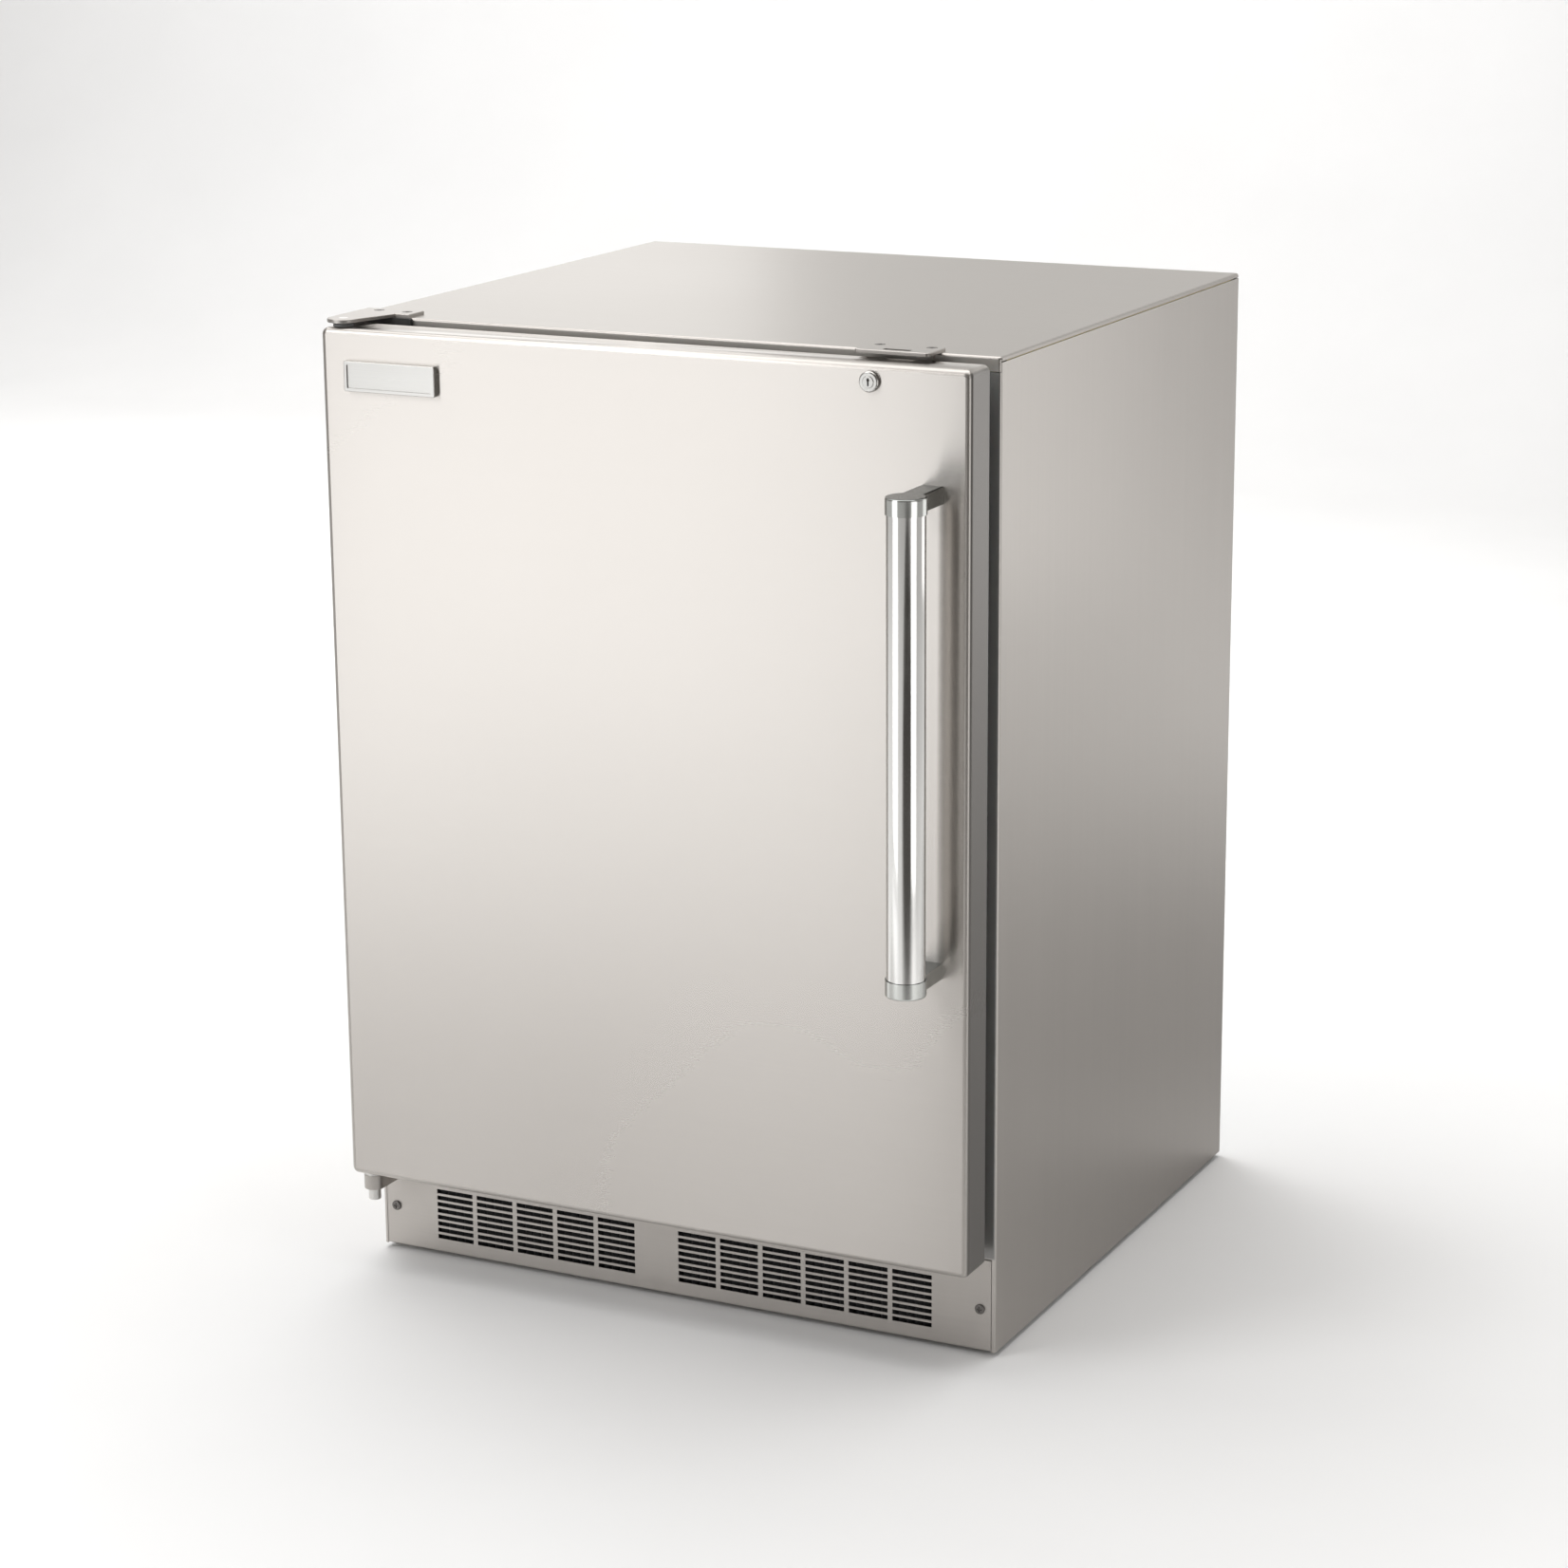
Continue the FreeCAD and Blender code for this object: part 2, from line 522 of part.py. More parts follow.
def fan_rotor(centre, radius, hub_r, depth, blades, pitch_deg):
    """Axial fan: a domed hub and flat blades set at an angle, turning about Y."""
    hub = cyl((0, -depth / 2, 0), Y, hub_r, depth)
    hub = fillet(hub, min(3.0, depth / 4), on_plane(Y, -depth / 2))
    solids = [hub]
    for i in range(blades):
        chord = 2 * math.pi * radius / blades * 0.42
        blade = box(-chord / 2, chord / 2, -0.8, 0.8, hub_r - 3, radius)
        blade = fillet(blade, chord * 0.3, lambda e: parallel(e, Y) and e.CenterOfMass.z > radius - 1)
        blade.rotate(V(0, 0, 0), Z, pitch_deg)
        blade.rotate(V(0, 0, 0), Y, 360.0 / blades * i)
        solids.append(blade)
    rotor = fuse(solids)
    rotor.translate(V(*centre))
    return rotor


EVAPORATOR_FAN_Y = 453.0
CONDENSER_FAN_Y = 438.0


def evaporator_fan_rotor():
    rotor = fan_rotor((0, EVAPORATOR_FAN_Y, EVAPORATOR_FAN_Z), EVAPORATOR_FAN_R, 15, 10, 5, 28)
    return rotor.cut(cyl((0, EVAPORATOR_FAN_Y - 2, EVAPORATOR_FAN_Z), Y, 2.05, 20))


def evaporator_fan_motor():
    y = EVAPORATOR_FAN_Y + 6.5
    body = fillet(cyl((0, y, EVAPORATOR_FAN_Z), Y, 17, LINER_BACK - y), 2.0, on_plane(Y, y))
    shaft = cyl((0, EVAPORATOR_FAN_Y - 1.5, EVAPORATOR_FAN_Z), Y, 2.0, 10)
    arms = [box(-34, 34, LINER_BACK - 3, LINER_BACK, EVAPORATOR_FAN_Z - 5, EVAPORATOR_FAN_Z + 5)]
    return fuse([body, shaft] + arms)


def control_housing():
    """Control and lamp housing under the liner's ceiling."""
    outer = box(-115, 115, CONTROL_FRONT, 130, 776, LINER_CEILING)
    outer = round_along(outer, Z, 8)
    outer = fillet(outer, 4.0, on_plane(Z, 776))
    inner = box(-112.5, 112.5, CONTROL_FRONT + 2.5, 127.5, 778.5, LINER_CEILING + 1)
    window = round_along(box(-50, 45, CONTROL_FRONT + 22, 112, 770, 780), Z, 6)
    knob_hole = cyl((KNOB_X, CONTROL_FRONT - 1, KNOB_Z), Y, 3.1, 6)
    switch_hole = cyl((SWITCH_X, CONTROL_FRONT - 1, SWITCH_Z), Y, 3.6, 6)
    return cut(outer, [round_along(inner, Z, 5.5), window, knob_hole, switch_hole])


def light_lens():
    """Ribbed lamp cover that snaps into the housing's window."""
    lens = round_along(box(-49.8, 44.8, CONTROL_FRONT + 22.2, 111.8, 775, 779), Z, 6)
    lip = box(-54, 49, CONTROL_FRONT + 19, 115, 778.5, 780.5)
    lens = fuse([lens, lip])
    grooves = [box(-44 + i * 8, -41 + i * 8, CONTROL_FRONT + 28, 106, 774, 775.8) for i in range(11)]
    return cut(lens, grooves)


def thermostat_knob():
    """Round dial with a pointer rib, on a short shaft into the housing."""
    front = CONTROL_FRONT - 9.5
    body = cyl((KNOB_X, front, KNOB_Z), Y, 13, 9.0)
    body = fillet(body, 1.5, on_plane(Y, front))
    rib = box(KNOB_X - 2, KNOB_X + 2, front - 2.0, front + 2, KNOB_Z - 10, KNOB_Z + 12)
    rib = fillet(rib, 1.2, on_plane(Y, front - 2.0))
    shaft = cyl((KNOB_X, front + 5, KNOB_Z), Y, 3.0, 16)
    flutes = []
    for i in range(16):
        a = math.radians(i * 22.5)
        flutes.append(cyl((KNOB_X + 13.6 * math.cos(a), front + 2, KNOB_Z + 13.6 * math.sin(a)), Y, 1.3, 12))
    return fuse([cut(body, flutes), rib, shaft])


PLUNGER_TIP = DIKE_FACE + 0.4
PLUNGER_TRAVEL = 8.0


def door_switch_plunger():
    """Spring plunger of the lamp switch, held in by the closed door."""
    pin = cyl((SWITCH_X, PLUNGER_TIP, SWITCH_Z), Y, 3.5, 34)
    pin = fillet(pin, 1.5, on_plane(Y, PLUNGER_TIP))
    collar = cyl((SWITCH_X, CONTROL_FRONT + 2.7 + PLUNGER_TRAVEL, SWITCH_Z), Y, 6.0, 2.0)
    return fuse([pin, collar])


# ---- compressor bay -----------------------------------------------------------------------------------
PLATE_Z = 18.0


def compressor_stud_places():
    return [(COMPRESSOR_X + sx * 62, COMPRESSOR_Y + sy * 52) for sx in (-1, 1) for sy in (-1, 1)]


def compressor():
    """Hermetic shell: two drawn halves with a weld rim, on a foot plate, with three stub pipes."""
    r, low, weld, top = COMPRESSOR_R, PLATE_Z + 2.5, PLATE_Z + 92, PLATE_Z + 170
    lower = cyl((COMPRESSOR_X, COMPRESSOR_Y, low), Z, r - 3, weld - low)
    lower = fillet(lower, 24.0, on_plane(Z, low))
    upper = cyl((COMPRESSOR_X, COMPRESSOR_Y, weld), Z, r, top - weld)
    upper = fillet(upper, 42.0, on_plane(Z, top))
    rim = cyl((COMPRESSOR_X, COMPRESSOR_Y, weld - 3), Z, r + 3, 6)
    rim = fillet(rim, 1.5, on_plane(Z, weld + 3))
    x, y = COMPRESSOR_X, COMPRESSOR_Y
    plate = box(x - 78, x + 78, y - 66, y + 66, PLATE_Z, PLATE_Z + 2.6)
    plate = round_along(plate, Z, 16)
    plate = cut(plate, [cyl((x, y, PLATE_Z - 1), Z, 8.0, 6) for x, y in compressor_stud_places()])
    seat = cyl((COMPRESSOR_X, COMPRESSOR_Y, PLATE_Z + 1), Z, r - 22, 4)
    stubs = [cyl(p, X, 4.0, 26) for p in STUBS]
    wall = 10.5  # thicker than the real shell, to carry the weight of the pump and motor inside
    core = cyl((COMPRESSOR_X, COMPRESSOR_Y, low + wall), Z, r - 3 - wall, top - low - 2 * wall)
    core = fillet(core, 30.0, on_plane(Z, top - wall))
    core = fillet(core, 14.0, on_plane(Z, low + wall))
    return fuse([lower, upper, rim, plate, seat] + stubs).cut(core)


STUBS = [
    (COMPRESSOR_X + COMPRESSOR_R - 8, COMPRESSOR_Y - 22, PLATE_Z + 60),
    (COMPRESSOR_X + COMPRESSOR_R - 8, COMPRESSOR_Y + 8, PLATE_Z + 72),
    (COMPRESSOR_X + COMPRESSOR_R - 8, COMPRESSOR_Y + 24, PLATE_Z + 50),
]
STUB_END_X = COMPRESSOR_X + COMPRESSOR_R + 18


def compressor_grommets():
    """Four rubber mounts between the base pan and the foot plate."""
    floor = BASE_Z + BASE_T
    outline = [(3.3, 0), (11, 0), (11, 6), (8.5, 8), (11, 10), (11, PLATE_Z - floor), (7.9, PLATE_Z - floor),
               (7.9, PLATE_Z - floor + 2.6), (10.5, PLATE_Z - floor + 2.6), (10, PLATE_Z - floor + 7),
               (3.3, PLATE_Z - floor + 7)]
    return Part.makeCompound([revolve(outline, (x, y, floor)) for x, y in compressor_stud_places()])


def compressor_bolts():
    """Studs with washers and nuts that hold the compressor down."""
    top = PLATE_Z + 7
    solids = []
    for x, y in compressor_stud_places():
        stud = cyl((x, y, BASE_Z - 0.8), Z, 2.95, top - BASE_Z + 12)
        washer = cyl((x, y, top), Z, 9.5, 1.6)
        nut = Part.Face(Part.makePolygon([
            V(x + 5.8 * math.cos(math.radians(60 * i)), y + 5.8 * math.sin(math.radians(60 * i)), top + 1.6)
            for i in range(7)
        ])).extrude(V(0, 0, 5))
        solids.append(fuse([stud, washer, nut]))
    return Part.makeCompound(solids)


def compressor_terminal_cover():
    """Plastic cover of the start relay and terminals, on the left of the shell."""
    x1 = COMPRESSOR_X - COMPRESSOR_R + 18
    cover = box(x1 - 62, x1, COMPRESSOR_Y - 30, COMPRESSOR_Y + 30, PLATE_Z + 24, PLATE_Z + 84)
    cover = fillet(cover, 6.0, lambda e: e.CenterOfMass.x < x1 - 1)
    return cover.cut(cyl((COMPRESSOR_X, COMPRESSOR_Y, PLATE_Z), Z, COMPRESSOR_R + 0.2, 90)).cut(
        cyl((COMPRESSOR_X, COMPRESSOR_Y, PLATE_Z + 84), Z, COMPRESSOR_R + 4, 20))


CONDENSER = (CONDENSER_X - 95, CONDENSER_X + 95, 352.0, 396.0, 22.0, 214.0)


def condenser_coil():
    x0, x1, y0, y1, z0, z1 = CONDENSER
    return finned_coil(x0, x1, y0, y1, z0, z1, 8, 2, 4.0, 7.0)


def condenser_fan_shroud():
    """Sheet shroud behind the condenser, with the fan's round opening and a foot."""
    x0, x1, _, y1, z0, z1 = CONDENSER
    outer = box(x0 - 4, x1 + 4, y1 + 2, y1 + 32, z0 - 6, z1 + 6)
    inner = box(x0 - 2.8, x1 + 2.8, y1 + 1, y1 + 30.8, z0 - 4.8, z1 + 4.8)
    opening = cyl((CONDENSER_X, y1, CONDENSER_FAN_Z), Y, CONDENSER_FAN_R + 4, 40)
    collar = cyl((CONDENSER_X, y1 + 30.8, CONDENSER_FAN_Z), Y, CONDENSER_FAN_R + 5.2, 9).cut(opening)
    foot_plate = box(x0 - 4, x1 + 4, y1 + 20, y1 + 32, BASE_Z + BASE_T, z0 - 5.5)
    return fuse([outer.cut(inner).cut(opening), collar, foot_plate])


def condenser_fan_motor():
    """Shaded-pole motor on a three-arm bracket that reaches the shroud's collar."""
    y = CONDENSER_FAN_Y + 12
    body = cyl((CONDENSER_X, y, CONDENSER_FAN_Z), Y, 26, 44)
    body = fillet(body, 5.0, lambda e: isinstance(e.Curve, Part.Circle))
    shaft = cyl((CONDENSER_X, CONDENSER_FAN_Y - 6, CONDENSER_FAN_Z), Y, 3.0, 30)
    solids = [body, shaft]
    reach = CONDENSER_FAN_R + 14
    collar_end = CONDENSER[3] + 32
    for i in range(3):
        arm = box(-5, 5, y + 8, y + 10, 20, reach)
        leg = box(-5, 5, collar_end, y + 10, reach - 2, reach)
        strap = fuse([arm, leg])
        strap.rotate(V(0, 0, 0), Y, 120 * i)
        strap.translate(V(CONDENSER_X, 0, CONDENSER_FAN_Z))
        solids.append(strap)
    return fuse(solids)


def condenser_fan_rotor():
    rotor = fan_rotor((CONDENSER_X, CONDENSER_FAN_Y, CONDENSER_FAN_Z), CONDENSER_FAN_R, 20, 18, 5, 30)
    return rotor.cut(cyl((CONDENSER_X, CONDENSER_FAN_Y - 7, CONDENSER_FAN_Z), Y, 3.05, 40))


DRIER_X, DRIER_Y, DRIER_Z = 0.0, 380.0, 120.0


def filter_drier():
    """Copper filter drier, upright between the compressor and the condenser."""
    outline = [(0, 0), (3.2, 0), (3.2, 12), (11, 24), (11, 92), (3.2, 104), (3.2, 116), (0, 116)]
    return revolve(outline, (DRIER_X, DRIER_Y, DRIER_Z - 58))


def refrigerant_lines():
    """Discharge, liquid, capillary and suction tubes."""
    x0, x1, y0, y1, z0, z1 = CONDENSER
    row = (z1 - z0) / 8
    top_y, low_y = y0 + (y1 - y0) * 0.25, y0 + (y1 - y0) * 0.25
    _, stub_y, stub_z = STUBS[0]
    turn_x, over_z, first_z, last_z = x0 - 14, z1 + 26, z1 - row / 2, z0 + row / 2
    discharge = tube(
        [(STUB_END_X, stub_y, stub_z), (-20, stub_y, stub_z), (-20, stub_y, over_z), (-20, top_y, over_z),
         (turn_x, top_y, over_z), (turn_x, top_y, first_z), (x0, top_y, first_z)],
        3.2, 6.0)
    liquid = tube(
        [(x0, low_y, last_z), (turn_x, low_y, last_z), (turn_x, low_y, 40), (DRIER_X, DRIER_Y, 40),
         (DRIER_X, DRIER_Y, DRIER_Z - 58)],
        3.0, 5.0)
    capillary = tube(
        [(DRIER_X, DRIER_Y, DRIER_Z + 58), (DRIER_X, DRIER_Y, 212), (LINE_HOLES_X[1], BAY_FRONT + 60, 232),
         (LINE_HOLES_X[1], BAY_FRONT + 60, HUMP_TOP - 8)],
        1.5, 5.0)
    suction = tube(
        [(STUB_END_X, STUBS[1][1], STUBS[1][2]), (LINE_HOLES_X[0], STUBS[1][1], STUBS[1][2]),
         (LINE_HOLES_X[0], STUBS[1][1], 258), (LINE_HOLES_X[0], BAY_FRONT + 60, 258),
         (LINE_HOLES_X[0], BAY_FRONT + 60, HUMP_TOP - 8)],
        3.8, 8.0)
    process = tube(
        [(STUB_END_X, STUBS[2][1], STUBS[2][2]), (STUB_END_X + 14, STUBS[2][1], STUBS[2][2]),
         (STUB_END_X + 14, STUBS[2][1], STUBS[2][2] + 46)],
        3.0, 7.0)
    return Part.makeCompound([discharge, liquid, capillary, suction, process])


def drain_pan():
    """Shallow tray that collects and evaporates the defrost water."""
    outer = round_along(box(-40, 30, 240, 330, BASE_Z + BASE_T, 34), Z, 8)
    outer = fillet(outer, 4.0, on_plane(Z, BASE_Z + BASE_T))
    inner = round_along(box(-37.5, 27.5, 242.5, 327.5, BASE_Z + BASE_T + 2.5, 36), Z, 5.5)
    return outer.cut(inner)


def drain_tube():
    """Plastic tube from the liner's floor down to the drain pan."""
    x, y = 0.0, HUMP_FRONT - 25
    tube_solid = cyl((x, y, 24), Z, DRAIN_R - 0.2, LINER_FLOOR - 24)
    flange = cyl((x, y, LINER_FLOOR), Z, DRAIN_R + 5, 1.5)
    return fuse([tube_solid, flange]).cut(cyl((x, y, 20), Z, DRAIN_R - 2, 130))


# ---- hinges and lock ----------------------------------------------------------------------------------
HINGE_PLATE_R = 14.0


def hinge_plate_top():
    """Flat plate on the cabinet's top that reaches out over the door and carries the upper pin."""
    z, r = CABINET_H, HINGE_PLATE_R
    rear, right_at_face, right = 24.0, -260.0, -246.0
    outline = [V(HINGE_X - r, rear, z), V(HINGE_X - r, HINGE_Y, z), V(HINGE_X + r, HINGE_Y, z),
               V(right_at_face, 0, z), V(right, 0, z), V(right, rear, z), V(HINGE_X - r, rear, z)]
    plate = Part.Face(Part.makePolygon(outline)).extrude(V(0, 0, TOP_PLATE_T))
    plate = fuse([plate, cyl((HINGE_X, HINGE_Y, z), Z, r, TOP_PLATE_T)])
    plate = fillet(plate, 0.8, on_plane(Z, z + TOP_PLATE_T))
    drills = [cyl((HINGE_X, HINGE_Y, z - 1), Z, PIN_R, 6)]
    for x, y in TOP_SCREWS[:2]:
        drills += [cyl((x, y, z - 1), Z, SCREW_R, 6), cyl((x, y, z + TOP_PLATE_T - SCREW_HEAD_H), Z, 4.5, 4)]
    return cut(plate, drills)


def hinge_backing_top():
    """Dark backing strip between the hinge plate and the cabinet's face."""
    x0, x1, z1 = -CABINET_W / 2 + 2, -243.0, CABINET_H - 0.1
    strip = box(x0, x1, -4, 0, z1 - 13, z1)
    return round_along(strip, Y, 1.5)


BOTTOM_ARM_Z = 69.0
BOTTOM_PLATE_Z = 78.0
BOTTOM_PLATE_T = 4.0
BOTTOM_ARM_R = 9.0


def hinge_bracket_bottom():
    """Folded arm under the door: a plate with skirts round the pin, and a leg on the cabinet's face."""
    z, top = BOTTOM_ARM_Z, BOTTOM_PLATE_Z + BOTTOM_PLATE_T
    left, right, wall = HINGE_X - BOTTOM_ARM_R, HINGE_X + BOTTOM_ARM_R, 3.0
    arm = fuse([box(left, right, HINGE_Y, 0, z, top), cyl((HINGE_X, HINGE_Y, z), Z, BOTTOM_ARM_R, top - z)])
    hollow = fuse([
        box(left + wall, right - wall, HINGE_Y, 1, z - 1, BOTTOM_PLATE_Z),
        cyl((HINGE_X, HINGE_Y, z - 1), Z, BOTTOM_ARM_R - wall, BOTTOM_PLATE_Z - z + 1),
    ])
    leg = box(-CABINET_W / 2 + 2, -240, -3.5, 0, z + 3, 99)
    leg = fillet(leg, 4.0, lambda e: parallel(e, Y) and e.CenterOfMass.x > -245)
    return cut(fuse([arm.cut(hollow), leg]), [cyl((HINGE_X, HINGE_Y, z - 2), Z, PIN_R, 30)])


BUSH_TOP_Z = (833.0, DOOR_TOP + 1.5)
BUSH_BOTTOM_Z = (DOOR_BOTTOM - 1.5, 100.0)


def hinge_pins():
    """Upper pin riveted in its plate; lower pin with a round head and a thrust washer."""
    top = cyl((HINGE_X, HINGE_Y, BUSH_TOP_Z[0]), Z, PIN_R, CABINET_H + TOP_PLATE_T - BUSH_TOP_Z[0])
    head_low = 58.0
    low = cyl((HINGE_X, HINGE_Y, head_low), Z, PIN_R, BUSH_BOTTOM_Z[1] - head_low)
    head = cyl((HINGE_X, HINGE_Y, head_low), Z, BOTTOM_ARM_R - 3.4, BOTTOM_PLATE_Z - head_low)
    head = fillet(head, 1.0, on_plane(Z, head_low))
    plate_top = BOTTOM_PLATE_Z + BOTTOM_PLATE_T
    washer = cyl((HINGE_X, HINGE_Y, plate_top), Z, 8.5, BUSH_BOTTOM_Z[0] - plate_top - 0.05)
    return Part.makeCompound([top, fuse([low, head, washer])])


def hinge_bushes():
    """Flanged nylon bushes in the door's top and bottom edges."""
    low_z, high_z = BUSH_TOP_Z
    top = fuse([cyl((HINGE_X, HINGE_Y, low_z), Z, BUSH_R, high_z - low_z),
                cyl((HINGE_X, HINGE_Y, DOOR_TOP), Z, 9.0, 1.5)])
    low_z, high_z = BUSH_BOTTOM_Z
    bottom = fuse([cyl((HINGE_X, HINGE_Y, low_z), Z, BUSH_R, high_z - low_z),
                   cyl((HINGE_X, HINGE_Y, low_z), Z, 9.0, 1.5)])
    bore = cyl((HINGE_X, HINGE_Y, 0), Z, BUSH_BORE_R, 900)
    return Part.makeCompound([top.cut(bore), bottom.cut(bore)])


KEEPER = (184.0, 250.0, -23.0, 12.0)


def lock_keeper():
    """Plate on the cabinet's top with a slot over the door for the lock's cam."""
    x0, x1, y0, y1 = KEEPER
    z = CABINET_H
    plate = round_along(box(x0, x1, y0, y1, z, z + TOP_PLATE_T), Z, 3)
    plate = fillet(plate, 0.8, on_plane(Z, z + TOP_PLATE_T))
    leg = box(x0 + 6, x1 - 6, -2.5, 0, z - 10, z + 0.5)
    slot = box(LOCK_X - 6.5, LOCK_X + 17.5, LOCK_CAM_Y - 1.5, LOCK_CAM_Y + 4.2, z - 1, z + 4)
    drills = [slot]
    for x, y in TOP_SCREWS[2:]:
        drills += [cyl((x, y, z - 1), Z, SCREW_R, 6), cyl((x, y, z + TOP_PLATE_T - SCREW_HEAD_H), Z, 4.5, 4)]
    return cut(fuse([plate, leg]), drills)


LOCK_BODY_R = 7.0
LOCK_BEZEL_T = 4.0


def lock_body():
    """Cam lock barrel in the door with a round bezel and a nut behind the skin."""
    front = DOOR_FRONT - LOCK_BEZEL_T
    bezel = cyl((LOCK_X, front, LOCK_Z), Y, 8.5, LOCK_BEZEL_T)
    bezel = fillet(bezel, 1.5, on_plane(Y, front))
    barrel = cyl((LOCK_X, DOOR_FRONT - 1, LOCK_Z), Y, LOCK_BODY_R, LOCK_CAM_Y - DOOR_FRONT + 1 - 0.4)
    nut = cyl((LOCK_X, DOOR_FRONT + SHEET, LOCK_Z), Y, 9.5, 3)
    return fuse([bezel, barrel, nut]).cut(cyl((LOCK_X, front - 5, LOCK_Z), Y, 5.05, 60))


def lock_plug():
    """Turning plug with a keyway, and the cam screwed on its inner end."""
    front = DOOR_FRONT - LOCK_BEZEL_T - 0.5
    plug = cyl((LOCK_X, front, LOCK_Z), Y, 5.0, LOCK_CAM_Y - front)
    plug = fillet(plug, 0.6, on_plane(Y, front))
    keyway = fuse([box(LOCK_X - 0.7, LOCK_X + 0.7, front - 1, front + 6, LOCK_Z - 3.2, LOCK_Z + 3.2),
                   cyl((LOCK_X, front - 1, LOCK_Z + 1.6), Y, 1.3, 7)])
    plug = plug.cut(keyway)
    cam = box(LOCK_X - 6, LOCK_X + LOCK_CAM_REACH, LOCK_CAM_Y, LOCK_CAM_Y + 2.5, LOCK_Z - 4.0, LOCK_Z + 4.0)
    cam = round_along(cam, Y, 3.9)
    head = cyl((LOCK_X, LOCK_CAM_Y + 2.5, LOCK_Z), Y, 3.5, 1.6)
    return fuse([plug, cam, head])


# ---- door ---------------------------------------------------------------------------------------------
def door_block(shrink, front, back):
    """The door's outer form, shrunk by shrink on its four sides, with rounded corners and front edges."""
    half = DOOR_W / 2 - shrink
    block = box(-half, half, front, back, DOOR_BOTTOM + shrink, DOOR_TOP - shrink)
    block = round_along(block, Y, DOOR_CORNER_R - shrink)
    return fillet(block, DOOR_EDGE_R - shrink, on_plane(Y, front))


def door_outer_panel():
    """Drawn stainless pan: front face, four sides and a narrow rear return."""
    pan = door_block(0, DOOR_FRONT, DOOR_BACK).cut(door_block(SHEET, DOOR_FRONT + SHEET, DOOR_BACK + 1))
    low, high = DOOR_BOTTOM + 0.5, DOOR_TOP - 0.5
    lip = ring_xz(DOOR_W / 2 - 0.5, low, high, 12.0, DOOR_BACK - SHEET, DOOR_BACK, 5.5)
    pan = fuse([pan, lip])
    drills = [cyl((HINGE_X, HINGE_Y, z - 4), Z, BUSH_R, 8) for z in (DOOR_BOTTOM, DOOR_TOP)]
    drills.append(cyl((LOCK_X, DOOR_FRONT - 1, LOCK_Z), Y, LOCK_BODY_R, DOOR_BACK - DOOR_FRONT + 2))
    drills += [cyl((HANDLE_X, DOOR_FRONT - 1, z), Y, 2.6, 4) for z in handle_screw_zs()]
    return cut(pan, drills)


def handle_screw_zs():
    return [HANDLE_BOTTOM + HANDLE_CAP_H / 2, HANDLE_TOP - HANDLE_CAP_H / 2]


DIKE_X, DIKE_Z0, DIKE_Z1, DIKE_W = 250.0, 140.0, 800.0, 28.0
POCKET_Y = -8.0


def dike_form(shrink):
    """The raised rim of the door's inner liner, shrunk by shrink, down to the flange plane."""
    half, low, high = DIKE_X - shrink, DIKE_Z0 + shrink, DIKE_Z1 - shrink
    outer = box(-half, half, DOOR_BACK, DIKE_FACE - shrink, low, high)
    outer = fillet(round_along(outer, Y, 16 - shrink), 7 - shrink, on_plane(Y, DIKE_FACE - shrink))
    x, z0, z1 = DIKE_X - DIKE_W + shrink, DIKE_Z0 + DIKE_W - shrink, DIKE_Z1 - DIKE_W + shrink
    pocket = box(-x, x, POCKET_Y - shrink, DIKE_FACE + 5, z0, z1)
    pocket = fillet(round_along(pocket, Y, 10 + shrink), 6 + shrink, on_plane(Y, POCKET_Y - shrink))
    return outer.cut(pocket)


def door_liner():
    """Inner door liner: a flange for the seal, a raised rim and a recessed middle that takes the bins."""
    flange = round_along(box(-299, 299, DOOR_BACK, DOOR_BACK + 2, DOOR_BOTTOM + 2, DOOR_TOP - 2), Y, 5)
    skin = fuse([flange, dike_form(0)]).cut(dike_form(2.2))
    skin = skin.cut(cyl((LOCK_X, DOOR_BACK - 1, LOCK_Z), Y, LOCK_BODY_R, 5))
    wall = DIKE_X - DIKE_W
    lugs = []
    for level in BIN_LEVELS:
        for side in (-1, 1):
            root = (side * wall, BIN_LUG_Y, level + BIN_LUG_H)
            lugs.append(cyl(root, X * -side, BIN_LUG_R, wall + 0.8 - BIN_X))
    return fuse([skin] + lugs)


BIN_LEVELS = (182.0, 400.0, 596.0)
BIN_X, BIN_BACK_Y, BIN_H, BIN_T = 217.5, 94.0, 74.0, 2.4
BIN_LUG_Y, BIN_LUG_H, BIN_LUG_R = 6.0, 52.0, 4.5


def door_foam():
    """Insulation inside the door."""
    core = door_block(SHEET, DOOR_FRONT + SHEET, DOOR_BACK - SHEET)
    half = DOOR_W / 2 - 12.6
    neck = box(-half, half, DOOR_BACK - SHEET, DOOR_BACK, DOOR_BOTTOM + 12.6, DOOR_TOP - 12.6)
    foam = fuse([core, neck, dike_form(2.2)])
    drills = [cyl((HINGE_X, HINGE_Y, 0), Z, BUSH_R, 100.5), cyl((HINGE_X, HINGE_Y, 832.5), Z, BUSH_R, 30)]
    drills.append(cyl((LOCK_X, DOOR_FRONT, LOCK_Z), Y, 9.6, DOOR_BACK - DOOR_FRONT + 1))
    drills += [cyl((HANDLE_X, DOOR_FRONT, z), Y, 6.0, 8) for z in handle_screw_zs()]
    return cut(foam, drills)


